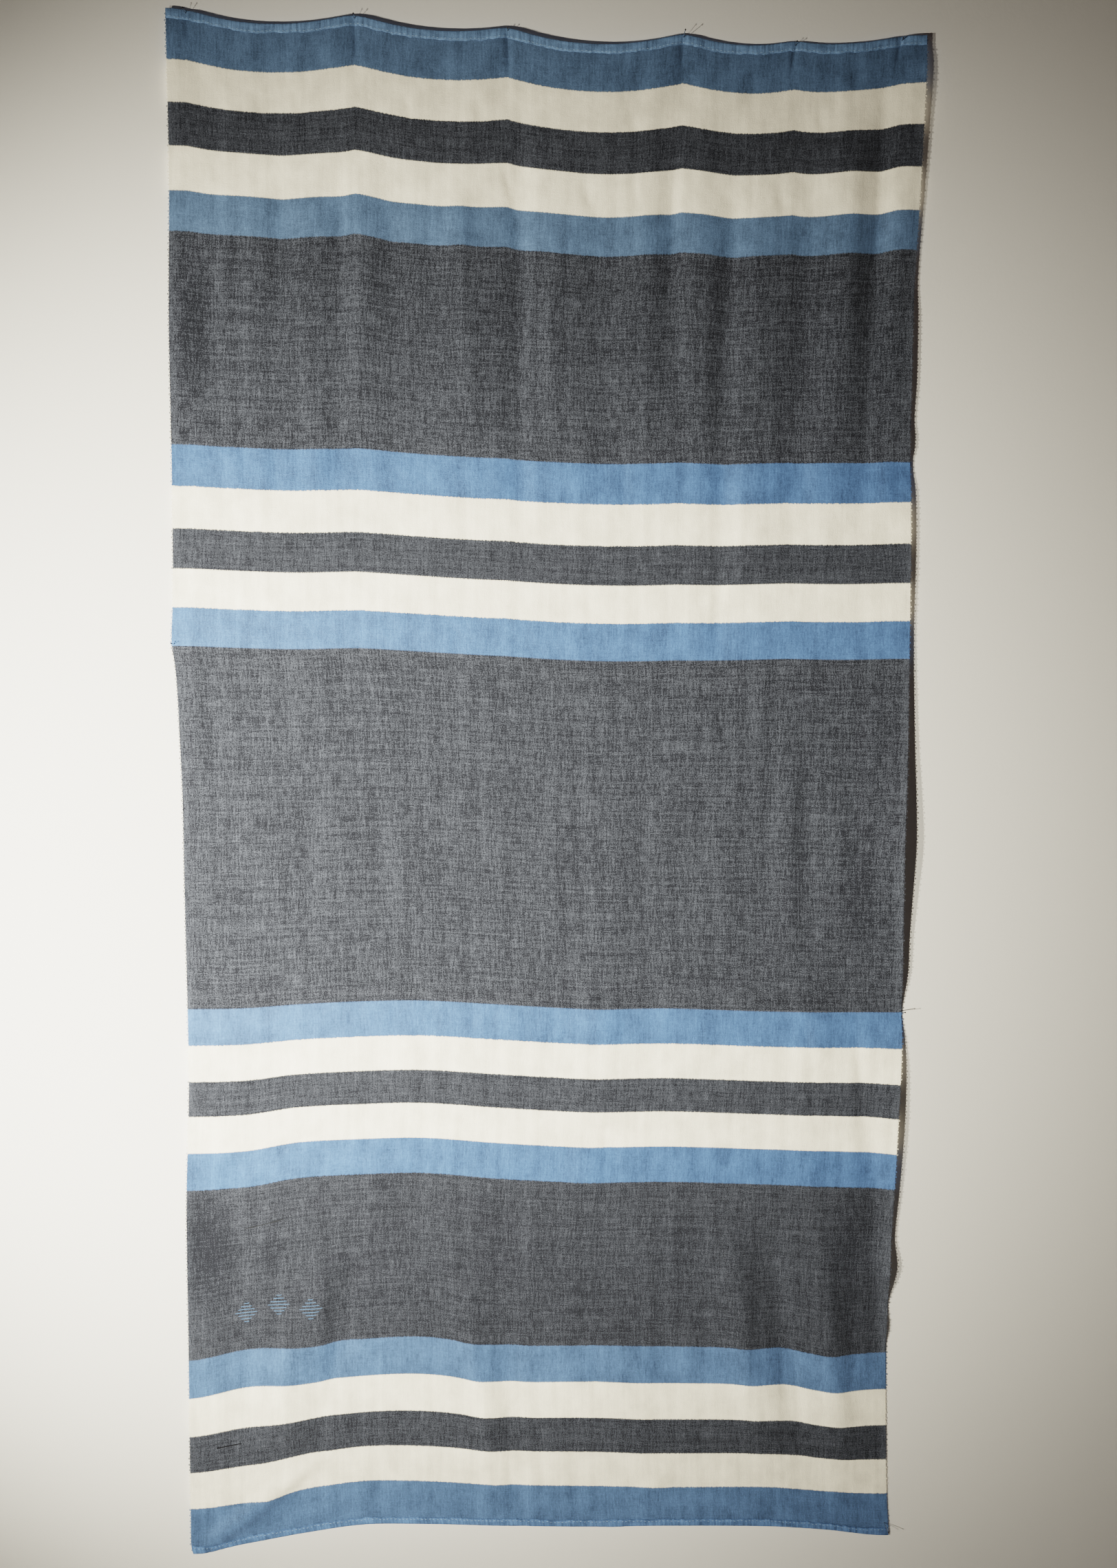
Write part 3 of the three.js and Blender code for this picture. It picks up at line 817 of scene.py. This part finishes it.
def woven_cloth():
    """The striped flat weave: yarn colours by depth, flecks, warp streaks, weft ribs and a fine twill."""
    n = Nodes("woven_cloth")
    place = n.add("ShaderNodeSeparateXYZ", {"Vector": n.flat()})
    across, depth = place.outputs[0], place.outputs[1]
    noises = weave_noises(n, across, depth)
    uneven_depth = n.math("ADD", depth, n.swing(noises["stripe_edge"], STRIPE_WAVER * MM))
    blue = n.inside(uneven_depth, BLUE_STRIPES)
    white = n.inside(uneven_depth, WHITE_STRIPES)
    close = n.inside(uneven_depth, CLOSE_STRIPES)
    # Painted shade: the greyer blue of the top and lowest blue stripes
    half_painted_shade = n.math("MULTIPLY", n.inside(uneven_depth, HALF_SHADE_PAINTED_STRIPES), HALF_PAINTED_SHADE)
    painted_shade = n.math("ADD", n.inside(uneven_depth, SHADE_PAINTED_BLUE_STRIPES), half_painted_shade)
    blue_yarn = n.mix(painted_shade, opaque(BLUE_YARN), opaque(SHADE_PAINTED_BLUE_YARN))
    fleck = fleck_share(n, noises, across, depth, close)
    colour = n.mix(fleck, opaque(CHARCOAL_YARN), opaque(CHARCOAL_FLECK))
    colour = n.mix(blue, colour, blue_yarn)
    colour = n.mix(white, colour, opaque(WHITE_YARN))
    crumpled = n.bump(n.shares(noises, CRUMPLE_SHARES), RELIEF_STRENGTH, CRUMPLE_DEPTH)
    return n.surface(
        Base_Color=n.tint(colour, yarn_shade(n, noises, blue, white)),
        Roughness=n.math("SUBTRACT", CLOTH_ROUGHNESS, n.math("MULTIPLY", blue, BLUE_SMOOTHNESS)),
        Normal=n.bump(n.shares(noises, RELIEF_SHARES), RELIEF_STRENGTH, RELIEF_DEPTH, Normal=crumpled),
        Sheen_Weight=0.05,
        Specular_IOR_Level=0.3,
    )


def plain_yarn(name, colour):
    """Yarn of one colour, uneven along its length."""
    n = Nodes(name)
    shade = n.scaled(n.object_noise(scale=420.0, detail=2.0), factor=0.7, start=0.65)
    return n.surface(
        Base_Color=n.tint(colour, shade),
        Roughness=0.85,
        Normal=n.bump(n.object_noise(scale=1500.0, detail=1.0), strength=0.5, distance=0.15),
        Sheen_Weight=0.15,
    )


def hem_cloth(name, colour):
    """The reverse face of the blue cloth, which shows on the turned hems."""
    n = Nodes(name)
    noises = n.grains(HEM_NOISES)
    return n.surface(
        Base_Color=n.tint(colour, n.total(1.0, n.swings(noises, HEM_SWINGS))),
        Roughness=0.8,
        Normal=n.bump(n.shares(noises, HEM_SHARES), strength=0.7, distance=0.35),
        Sheen_Weight=0.05,
        Specular_IOR_Level=0.3,
    )


def pin_steel(name, colour, roughness):
    """Drawn steel, unevenly smooth."""
    n = Nodes(name)
    noise = n.object_noise(scale=900.0, detail=2.0)
    return n.surface(
        Base_Color=n.tint(colour, n.scaled(noise, factor=0.3, start=0.85)),
        Roughness=n.scaled(noise, factor=0.2, start=roughness - 0.1),
        Metallic=1.0,
    )


# The woven sheet: closer columns at the hem pins, and the spacing of its rows down to each depth

COLUMN_SPACING = 4.4
PIN_COLUMN_SPACING = 2.0
PIN_COLUMN_REACH = 14
ROW_BANDS = [(60, 4), (200, 9), (1500, 14), (1720, 10), (1965, 9), (CLOTH_LENGTH, 3)]


def column_spacing(x):
    near_pin = min(abs(x - pin_x) for pin_x in HEM_PINS["x"]) < PIN_COLUMN_REACH
    return PIN_COLUMN_SPACING if near_pin else COLUMN_SPACING


def row_spacing(depth):
    return next(spacing for limit, spacing in ROW_BANDS if depth < limit)


def make_sheet(cloth):
    columns = graded_steps(-HALF_WIDTH, HALF_WIDTH, column_spacing)
    rows = graded_steps(0.0, CLOTH_LENGTH, row_spacing)
    flat_x, depth = np.meshgrid(columns, rows)
    points, faces, flat = closed_sheet(flat_x, depth, SHEET_FRONT, SHEET_BACK)
    return add_piece("fouta_sheet", points, faces, [cloth], flat, ["fouta_cloth"])


# The turned hems: each wraps an end of the cloth to the front and stops at a ragged line

HEM_COLUMN_SPACING = 1.6
HEM_PATTERN_SHIFT = 0.1
HEM_SHARP_ANGLE = 80
HEM_SECTION = named_columns("inward share lift", [
    (0.4, 0, -0.1),
    (-0.6, 0, 0.5),
    (-0.7, 0, 1.5),
    (-0.1, 0, 2.3),
    (1.4, 0, 2.55),
    (0, 0.4, 2.4),
    (0, 0.75, 2.25),
    (-0.5, 1, 2.1),
    (0, 1, 1.6),
    (-0.4, 1, 0.9),
    (0, 0.5, 0.9),
    (1.2, 0, 0.9),
])
HEM_WAVES = named_columns("size spacing", [(0.9, 26), (0.8, 4.2), (0.35, 1.8)])
TOP_HEM = dict(edge=0, inward=1, depth=11.6, pucker=0.55, seed=11)
BOTTOM_HEM = dict(edge=CLOTH_LENGTH, inward=-1, depth=9.0, pucker=0.5, seed=23)
PUCKER_SPACING = (5, 17)
PUCKER_WIDTH = (1.2, 2.6)
PUCKER_STRENGTH = (0.3, 1.2)
PUCKER_START = 1.2


def wavering(rng, x, spacing):
    """A smooth random line with a knot every so many millimetres, about zero."""
    knots = np.arange(-HALF_WIDTH - spacing, HALF_WIDTH + 2 * spacing, spacing)
    return np.interp(x, knots, rng.uniform(-1, 1, len(knots)))


def hem_lines(hem, x):
    """The hem's ragged depth and its small upright puckers along the cloth."""
    rng = np.random.default_rng(hem["seed"])
    depth = hem["depth"]
    for size, spacing in zip(*HEM_WAVES.values()):
        depth = depth + size * wavering(rng, x, spacing)
    pucker = np.zeros_like(x)
    place = -HALF_WIDTH
    while place < HALF_WIDTH:
        place += rng.uniform(*PUCKER_SPACING)
        width = rng.uniform(*PUCKER_WIDTH)
        strength = hem["pucker"] * rng.uniform(*PUCKER_STRENGTH)
        pucker -= strength * np.exp(-(((x - place) / width) ** 2))
    return depth, pucker


def make_hem(name, hem, cloth):
    steps = int(CLOTH_WIDTH / HEM_COLUMN_SPACING)
    x = np.linspace(-HALF_WIDTH, HALF_WIDTH, steps + 1)
    ragged, pucker = hem_lines(hem, x)
    section = HEM_SECTION
    depth = section["inward"] + section["share"] * ragged[:, None]
    lift = section["lift"] + pucker[:, None] * np.clip(section["lift"] - PUCKER_START, 0, 1)
    flat_x = np.broadcast_to(x[:, None], depth.shape)
    at = hem["edge"] + hem["inward"] * depth
    points = on_cloth(flat_x, at, lift)
    faces = ring_faces(len(x), len(section["lift"]))
    if hem["inward"] > 0:
        faces = [face[::-1] for face in faces]
    flat = flat_place(flat_x, depth + hem["edge"] * HEM_PATTERN_SHIFT)
    return add_piece(name, points, faces, [cloth], flat, sharp_angle=HEM_SHARP_ANGLE)


# The running stitches: short arched tubes that follow a share of the hem's puckers

STITCH_PITCH = 5.2
STITCH_LENGTH = 2.6
STITCH_RADIUS = 0.22
STITCH_INSET = 2.2
STITCH_END_GAP = 5
STITCH_SHIFT = 0.5
STITCH_SLOPE = 0.25
STITCH_LIFT = 2.0
STITCH_ARCH = 0.45
STITCH_PUCKER = 0.8
STITCH_STEPS = 5
STITCH_SIDES = 6


def arch(along):
    """1 at the middle of a stretch from -0.5 to 0.5, and 0 at its ends."""
    return 1 - (2 * along) ** 2


def make_stitches(name, hem, yarn):
    """The running stitch that holds a hem, just inside its ragged line."""
    x = np.arange(-HALF_WIDTH + STITCH_END_GAP, HALF_WIDTH - STITCH_END_GAP, STITCH_PITCH)
    rng = np.random.default_rng(hem["seed"] + 1)
    x = x + rng.uniform(-STITCH_SHIFT, STITCH_SHIFT, len(x))
    ragged, pucker = hem_lines(hem, x)
    along = np.linspace(-0.5, 0.5, STITCH_STEPS)
    flat_x = x[:, None] + along * STITCH_LENGTH
    slope = rng.uniform(-STITCH_SLOPE, STITCH_SLOPE, len(x))
    line = hem["edge"] + hem["inward"] * (ragged - STITCH_INSET)
    depth = line[:, None] + slope[:, None] * along * STITCH_LENGTH
    lift = STITCH_LIFT + STITCH_ARCH * arch(along) + pucker[:, None] * STITCH_PUCKER
    paths = on_cloth(flat_x, depth, lift)
    middle = np.clip(depth[:, STITCH_STEPS // 2], 0, CLOTH_LENGTH)
    out = np.stack([cloth_frame(x, middle)[2]] * STITCH_STEPS, 1)
    points, faces = tubes(paths, out, STITCH_RADIUS, STITCH_SIDES)
    return add_piece(name, points, faces, [yarn])


# The selvedges: small loops of weft along both side edges

LOOP_START = 2.0
LOOP_PITCH = 3.9
LOOP_REACH = 3.2
SHORT_LOOP = 0.3
LOOP_HEIGHT = 1.3
LOOP_RADIUS = 0.42
LOOP_SHIFT = 0.35
LOOP_SIZES = (0.65, 1.3)
LOOP_HALF_TURN = 0.62 * math.pi
LOOP_ROOT = 0.45
LOOP_LEAN = 0.25
LOOP_STEPS = 7
LOOP_SIDES = 5


def make_selvedge(name, side, seed, cloth):
    rng = np.random.default_rng(seed)
    depth = np.arange(LOOP_START, CLOTH_LENGTH - 1, LOOP_PITCH)
    depth = depth + rng.uniform(-LOOP_SHIFT, LOOP_SHIFT, len(depth))
    share = np.where(np.arange(len(depth)) % 2, 1.0, SHORT_LOOP)
    reach = LOOP_REACH * share * rng.uniform(*LOOP_SIZES, len(depth))
    edge = np.full_like(depth, side * HALF_WIDTH)
    across, down, out = cloth_frame(edge, depth)
    middle = on_cloth(edge, depth, (SHEET_FRONT + SHEET_BACK) / 2)
    angle = np.linspace(-LOOP_HALF_TURN, LOOP_HALF_TURN, LOOP_STEPS)
    beyond = (np.cos(angle) - LOOP_ROOT) * reach[:, None] * side
    along = np.sin(angle) * LOOP_HEIGHT * np.ones_like(reach)[:, None]
    lean = rng.uniform(-LOOP_LEAN, LOOP_LEAN, len(depth))[:, None] * np.cos(angle)
    paths = middle[:, None] + across[:, None] * beyond[..., None] + down[:, None] * along[..., None]
    paths = paths + out[:, None] * lean[..., None]
    points, faces = tubes(paths, np.repeat(out[:, None], LOOP_STEPS, 1), LOOP_RADIUS, LOOP_SIDES)
    flat = flat_place(np.repeat(edge, LOOP_STEPS * LOOP_SIDES), np.repeat(depth, LOOP_STEPS * LOOP_SIDES))
    return add_piece(name, points, faces, [cloth], flat)


# Weft floats low on the left: a plain row of stepped lozenges in light blue

FLOAT_PITCH = 4.4
FLOAT_RADIUS = 0.42
FLOAT_FLATNESS = 0.7
FLOAT_BEND = 0.25
FLOAT_SHIFT = 0.5
FLOAT_SINK = 0.3
FLOAT_ARCH = 0.6
FLOAT_STEPS = 7
FLOAT_SIDES = 8
FLOAT_SEED = 5
LOZENGE_FLOATS = [7, 15, 23, 31, 23, 15, 7]
LOZENGES = named_columns("x depth", [(-402, 1668), (-358, 1660), (-314, 1668)])


def make_floats(yarn):
    rng = np.random.default_rng(FLOAT_SEED)
    flat_x, depth = [], []
    along = np.linspace(-0.5, 0.5, FLOAT_STEPS)
    middle_row = (len(LOZENGE_FLOATS) - 1) / 2
    for x, middle in zip(*LOZENGES.values()):
        for row, length in enumerate(LOZENGE_FLOATS):
            bend = rng.uniform(-FLOAT_BEND, FLOAT_BEND) * arch(along)
            flat_x.append(x + rng.uniform(-FLOAT_SHIFT, FLOAT_SHIFT) + length * along)
            depth.append(middle + (row - middle_row) * FLOAT_PITCH + bend)
    flat_x, depth = np.array(flat_x), np.array(depth)
    lift = SHEET_FRONT - FLOAT_SINK + FLOAT_ARCH * np.sqrt(arch(along))
    out = cloth_frame(flat_x.ravel(), depth.ravel())[2].reshape(*flat_x.shape, 3)
    points, faces = tubes(on_cloth(flat_x, depth, lift), out, FLOAT_RADIUS, FLOAT_SIDES, FLOAT_FLATNESS)
    return add_piece("weft_floats", points, faces, [yarn])


# One thick weft yarn that stands out of the charcoal low on the left

SLUB = named_columns("x depth lift radius", [
    (-405, 1548.5, 0.8, 0.3),
    (-396, 1547, 1.35, 0.75),
    (-385, 1546, 1.3, 0.55),
    (-374, 1545, 1.25, 0.5),
    (-364, 1544.4, 1.4, 0.8),
    (-356, 1543.6, 1.3, 0.6),
    (-350, 1543, 0.8, 0.3),
])
SLUB_FLATNESS = 0.8
SLUB_STEPS = 31
SLUB_SIDES = 8


def make_slub(yarn):
    knots = SLUB["x"]
    x = np.linspace(knots[0], knots[-1], SLUB_STEPS)
    depth, lift, radius = (curve_through(knots, SLUB[name], x) for name in ("depth", "lift", "radius"))
    out = cloth_frame(x, depth)[2]
    path = on_cloth(x, depth, lift)
    points, faces = tubes(path[None], out[None], radius[None], SLUB_SIDES, SLUB_FLATNESS)
    return add_piece("slub_yarn", points, faces, [yarn])


# The pins

PIN_LENGTH = 34
PIN_RADIUS = 0.45
PIN_POINT_LENGTH = 4
PIN_SHOULDER_LENGTH = 2.4
PIN_SHOULDER_SHARE = 0.6
PIN_TIP_LENGTH = 0.1
PIN_TIP_RADIUS = 0.04
PIN_HEAD_RADIUS = 0.95
PIN_NECK_OVERLAP = 0.05
PIN_HEAD_REACH = 2.1 * PIN_HEAD_RADIUS
PIN_SIDES = 20
HEAD_STEPS = 8
LAID_PIN_X = -443
LAID_PIN_DEPTH = 1844


def pin_outline():
    """The pin's radius at each length from the top of its head to its point."""
    outline = []
    for step in range(1, HEAD_STEPS):
        angle = math.pi * step / HEAD_STEPS
        outline.append((PIN_HEAD_RADIUS * (1 - math.cos(angle)), PIN_HEAD_RADIUS * math.sin(angle)))
    neck = 2 * PIN_HEAD_RADIUS - PIN_NECK_OVERLAP
    taper = PIN_LENGTH - PIN_POINT_LENGTH
    outline += [(neck, PIN_RADIUS), (PIN_LENGTH / 2, PIN_RADIUS), (taper, PIN_RADIUS)]
    outline.append((taper + PIN_SHOULDER_LENGTH, PIN_RADIUS * PIN_SHOULDER_SHARE))
    outline.append((PIN_LENGTH - PIN_TIP_LENGTH, PIN_TIP_RADIUS))
    return outline


def make_pin(name, node, head, point, materials):
    """A straight pin from its head towards its point, both in millimetres."""
    head, point = Vector(head), Vector(point)
    turn = (point - head).to_track_quat("Z", "Y").to_matrix()
    outline = pin_outline()
    points = [head]
    for length, radius in outline:
        for side in range(PIN_SIDES):
            angle = 2 * math.pi * side / PIN_SIDES
            points.append(turn @ Vector((radius * math.cos(angle), radius * math.sin(angle), length)) + head)
    points.append(turn @ Vector((0, 0, PIN_LENGTH)) + head)
    faces = ring_faces(len(outline), PIN_SIDES, 1, capped=False)
    last = len(points) - 1
    for side in range(PIN_SIDES):
        after = (side + 1) % PIN_SIDES
        faces.append([0, 1 + after, 1 + side])
        faces.append([last - PIN_SIDES + side, last - PIN_SIDES + after, last])
    pin = add_piece(name, points, faces, materials, nodes=[node])
    for polygon in pin.data.polygons:
        on_head = all((points[v] - head).length < PIN_HEAD_REACH for v in polygon.vertices)
        polygon.material_index = int(on_head)
    return pin


def wall_pin_ends(x, depth, reach, aside=0, up=0):
    z = weft_rise(np.array([x], float), np.array([depth], float))[0] - depth
    hole = Vector((x, 0, z))
    head = hole + Vector((aside, -reach, up))
    return head, hole


def make_wall_pins(materials):
    pins = []
    for number, (x, depth, reach, _) in enumerate(zip(*HEM_PINS.values()), start=1):
        head, hole = wall_pin_ends(x, depth, reach)
        pins.append(make_pin(f"steel_hem_pin_{number}", f"hem_pin_{number}", head, hole, materials))
    for node, place in EDGE_PINS.items():
        head, hole = wall_pin_ends(**place)
        pins.append(make_pin("steel_" + node, node, head, hole, materials))
    return pins


LAID_HEAD_LIFT = 2.3
LAID_POINT_LIFT = 1.7


def make_laid_pin(materials):
    """The pin that runs through the weave low on the left: only its head and its point show."""
    x = np.array([LAID_PIN_X, LAID_PIN_X + PIN_LENGTH], float)
    depth = np.full(2, float(LAID_PIN_DEPTH))
    ends = on_cloth(x, depth, np.array([LAID_HEAD_LIFT, LAID_POINT_LIFT]))
    return make_pin("steel_lower_left_pin", "lower_left_pin", ends[0], ends[1], materials)


# The low ridge over the laid pin, from its head's side to its point's, a little higher by the head

RIDGE_START = 1.9
RIDGE_END = 31.2
RIDGE_HALF_WIDTH = 3.6
RIDGE_STEEPNESS = 2.1
RIDGE_HEIGHT = 0.75
RIDGE_HEAD_HEIGHT = 0.5
RIDGE_SINK = 0.12
RIDGE_BACK_SINK = 0.4
RIDGE_BACK_SHARE = 0.5
RIDGE_COLUMNS = 36
RIDGE_ROWS = 15


def make_pin_ridge(cloth):
    """The cloth that the laid pin lifts, as a closed patch on the sheet."""
    across = np.linspace(RIDGE_START, RIDGE_END, RIDGE_COLUMNS)
    flat_x, aside = np.meshgrid(LAID_PIN_X + across, np.linspace(-1, 1, RIDGE_ROWS))
    along = (flat_x - LAID_PIN_X - RIDGE_START) / (RIDGE_END - RIDGE_START)
    height = RIDGE_HEIGHT + RIDGE_HEAD_HEIGHT * (1 - along) ** 2
    rise = np.exp(-((aside * RIDGE_STEEPNESS) ** 2)) * height
    depth = LAID_PIN_DEPTH + aside * RIDGE_HALF_WIDTH
    front = SHEET_FRONT - RIDGE_SINK + rise
    back = SHEET_FRONT - RIDGE_BACK_SINK + rise * RIDGE_BACK_SHARE
    points, faces, flat = closed_sheet(flat_x, depth, front, back)
    return add_piece("pin_ridge", points, faces, [cloth], flat)


# The stage: a pale floor and a pale wall, which isn't seen from behind

FLOOR_DROP = 0.34
FLOOR_HALF = 6.0
WALL_HALF_WIDTH = 1.7
WALL_TOP = 0.75
WALL_NAME = "stage_wall"
FLOOR_PAINT = (0.72, 0.71, 0.69)
WALL_PAINT = (0.72, 0.695, 0.65)


def plain_object(name, points, material):
    placed = make_object(name, np.array(points) / MM, [[0, 1, 2, 3]], [material])
    return placed


def floor_material():
    n = Nodes("pale_floor")
    shade = n.scaled(n.object_noise(scale=3.0, detail=3.0), factor=0.06, start=0.97)
    return n.surface(Base_Color=n.tint(FLOOR_PAINT, shade), Roughness=0.8)


def wall_material():
    n = Nodes("pale_wall")
    bump = n.bump(n.object_noise(scale=260.0, detail=3.0), strength=0.25, distance=0.4)
    front = n.add(
        "ShaderNodeBsdfPrincipled",
        {"Base Color": opaque(WALL_PAINT), "Roughness": 0.85, "Normal": bump},
    )
    clear = n.add("ShaderNodeBsdfTransparent")
    behind = n.add("ShaderNodeNewGeometry").outputs["Backfacing"]
    both = n.add("ShaderNodeMixShader", {0: behind, 1: front.outputs[0], 2: clear.outputs[0]})
    n.add("ShaderNodeOutputMaterial", {"Surface": both.outputs[0]})
    return n.material


def make_stage():
    floor = -CLOTH_LENGTH * MM - FLOOR_DROP
    h = FLOOR_HALF
    level = [(-h, -h, floor), (h, -h, floor), (h, h, floor), (-h, h, floor)]
    plain_object("stage_floor", level, floor_material())
    w, t = WALL_HALF_WIDTH, WALL_TOP
    upright = [(-w, 0, floor), (w, 0, floor), (w, 0, t), (-w, 0, t)]
    plain_object(WALL_NAME, upright, wall_material())


# The camera, at the photograph's viewing angle, and the lights

PHOTO_HEIGHT = 2279
PHOTO_FOCAL_LENGTH = 1712
SENSOR = 36.0
CAMERA_PLACE = (-0.0401, -1.5556, -0.8565)
CAMERA_PITCH = -3.838
CAMERA_ROLL = -0.342
CAMERA_TURN = -2.037


def make_camera():
    data = bpy.data.cameras.new("camera")
    data.sensor_width = SENSOR
    data.lens = SENSOR * PHOTO_FOCAL_LENGTH / PHOTO_HEIGHT
    data.clip_start = 0.05
    camera = bpy.data.objects.new("camera", data)
    level = Matrix.Rotation(math.radians(90), 4, "X")
    pitch = Matrix.Rotation(math.radians(CAMERA_PITCH), 4, "X")
    roll = Matrix.Rotation(math.radians(CAMERA_ROLL), 4, "Y")
    turn = Matrix.Rotation(math.radians(CAMERA_TURN), 4, "Z")
    camera.matrix_world = Matrix.Translation(CAMERA_PLACE) @ turn @ pitch @ roll @ level
    bpy.context.scene.collection.objects.link(camera)
    bpy.context.scene.camera = camera
    return camera


LAMPS = {
    "lamp_left": dict(place=(-1.31, -1.5, -1.22), power=50.5),
    "lamp_right": dict(place=(-0.83, -1.5, -1.22), power=57),
}
LAMP_TARGET = (-0.32, 0, -1.1)
LAMP_RADIUS = 0.006
LAMP_CONE = 83
LAMP_BLEND = 1.0
LAMP_COLOUR = (1.0, 0.975, 0.885)
SOFT_FILL = dict(place=(0.4, -2.6, 0.3), target=(0, 0, -0.9), power=1.6, size=2.4, colour=(1.0, 0.7, 0.6))
BACK_LIGHT = dict(place=(-0.1, 2.4, -0.3), target=(0, 0, -1.0), power=60, size=0.5, colour=(1.0, 1.0, 1.0))
STUDIO_COLOUR = (1.0, 0.78, 0.7)
STUDIO_STRENGTH = 0.016


def aim(obj, place, target):
    obj.location = place
    obj.rotation_mode = "QUATERNION"
    obj.rotation_quaternion = (Vector(target) - Vector(place)).to_track_quat("-Z", "Y")
    bpy.context.scene.collection.objects.link(obj)


def all_but_the_wall():
    """What shades the light behind the wall: the towel and the floor."""
    blockers = bpy.data.collections.new("back_light_blockers")
    for placed in bpy.context.scene.objects:
        if placed.type == "MESH" and placed.name != WALL_NAME:
            blockers.objects.link(placed)
    return blockers


def make_area_light(name, light):
    data = bpy.data.lights.new(name, "AREA")
    data.energy = light["power"]
    data.size = light["size"]
    data.color = light["colour"]
    made = bpy.data.objects.new(name, data)
    aim(made, light["place"], light["target"])
    return made


def make_lights():
    for name, lamp in LAMPS.items():
        data = bpy.data.lights.new(name, "SPOT")
        data.energy = lamp["power"] * math.pi
        data.shadow_soft_size = LAMP_RADIUS
        data.spot_size = math.radians(LAMP_CONE)
        data.spot_blend = LAMP_BLEND
        data.color = LAMP_COLOUR
        aim(bpy.data.objects.new(name, data), lamp["place"], LAMP_TARGET)
    make_area_light("soft_fill", SOFT_FILL)
    behind = make_area_light("back_light", BACK_LIGHT)
    behind.light_linking.blocker_collection = all_but_the_wall()
    world = bpy.data.worlds.new("studio")
    world.use_nodes = True
    background = world.node_tree.nodes["Background"]
    background.inputs["Color"].default_value = opaque(STUDIO_COLOUR)
    background.inputs["Strength"].default_value = STUDIO_STRENGTH
    bpy.context.scene.world = world


def make_towel():
    cloth = woven_cloth()
    # The top hem's lighter blue is a painted highlight on its thick fold
    top_hem_highlighted = hem_cloth("top_hem_cloth", TOP_HEM_BLUE_PAINTED_HIGHLIGHT)
    bottom_reverse = hem_cloth("bottom_hem_cloth", BOTTOM_HEM_BLUE)
    light_thread = plain_yarn("light_thread", LIGHT_THREAD)
    float_yarn = plain_yarn("float_yarn", FLOAT_YARN)
    dark_yarn = plain_yarn("dark_yarn", DARK_YARN)
    steel = [pin_steel("pin_shank", PIN_SHANK, 0.35), pin_steel("pin_head", PIN_HEAD, 0.4)]
    # The laid pin is nearly black all over: painted shade for the slit and shadow along it
    laid_pin_shaded_steel = pin_steel("laid_pin_steel_and_painted_shade", PIN_STEEL_AND_PAINTED_SHADE, 0.5)
    sheet = make_sheet(cloth)
    trims = [
        make_hem("top_hem", TOP_HEM, top_hem_highlighted),
        make_hem("bottom_hem", BOTTOM_HEM, bottom_reverse),
        make_stitches("top_hem_stitches", TOP_HEM, light_thread),
        make_stitches("bottom_hem_stitches", BOTTOM_HEM, light_thread),
        make_selvedge("selvedge_left", -1, 3, cloth),
        make_selvedge("selvedge_right", 1, 4, cloth),
        make_floats(float_yarn),
        make_slub(dark_yarn),
        make_pin_ridge(cloth),
    ]
    pins = make_wall_pins(steel) + [make_laid_pin([laid_pin_shaded_steel, laid_pin_shaded_steel])]


def set_view():
    """A soft tone curve, as a camera's own."""
    bpy.context.scene.view_settings.view_transform = "Filmic"
    bpy.context.scene.view_settings.look = "High Contrast"


make_camera()
make_towel()
make_stage()
make_lights()
set_view()
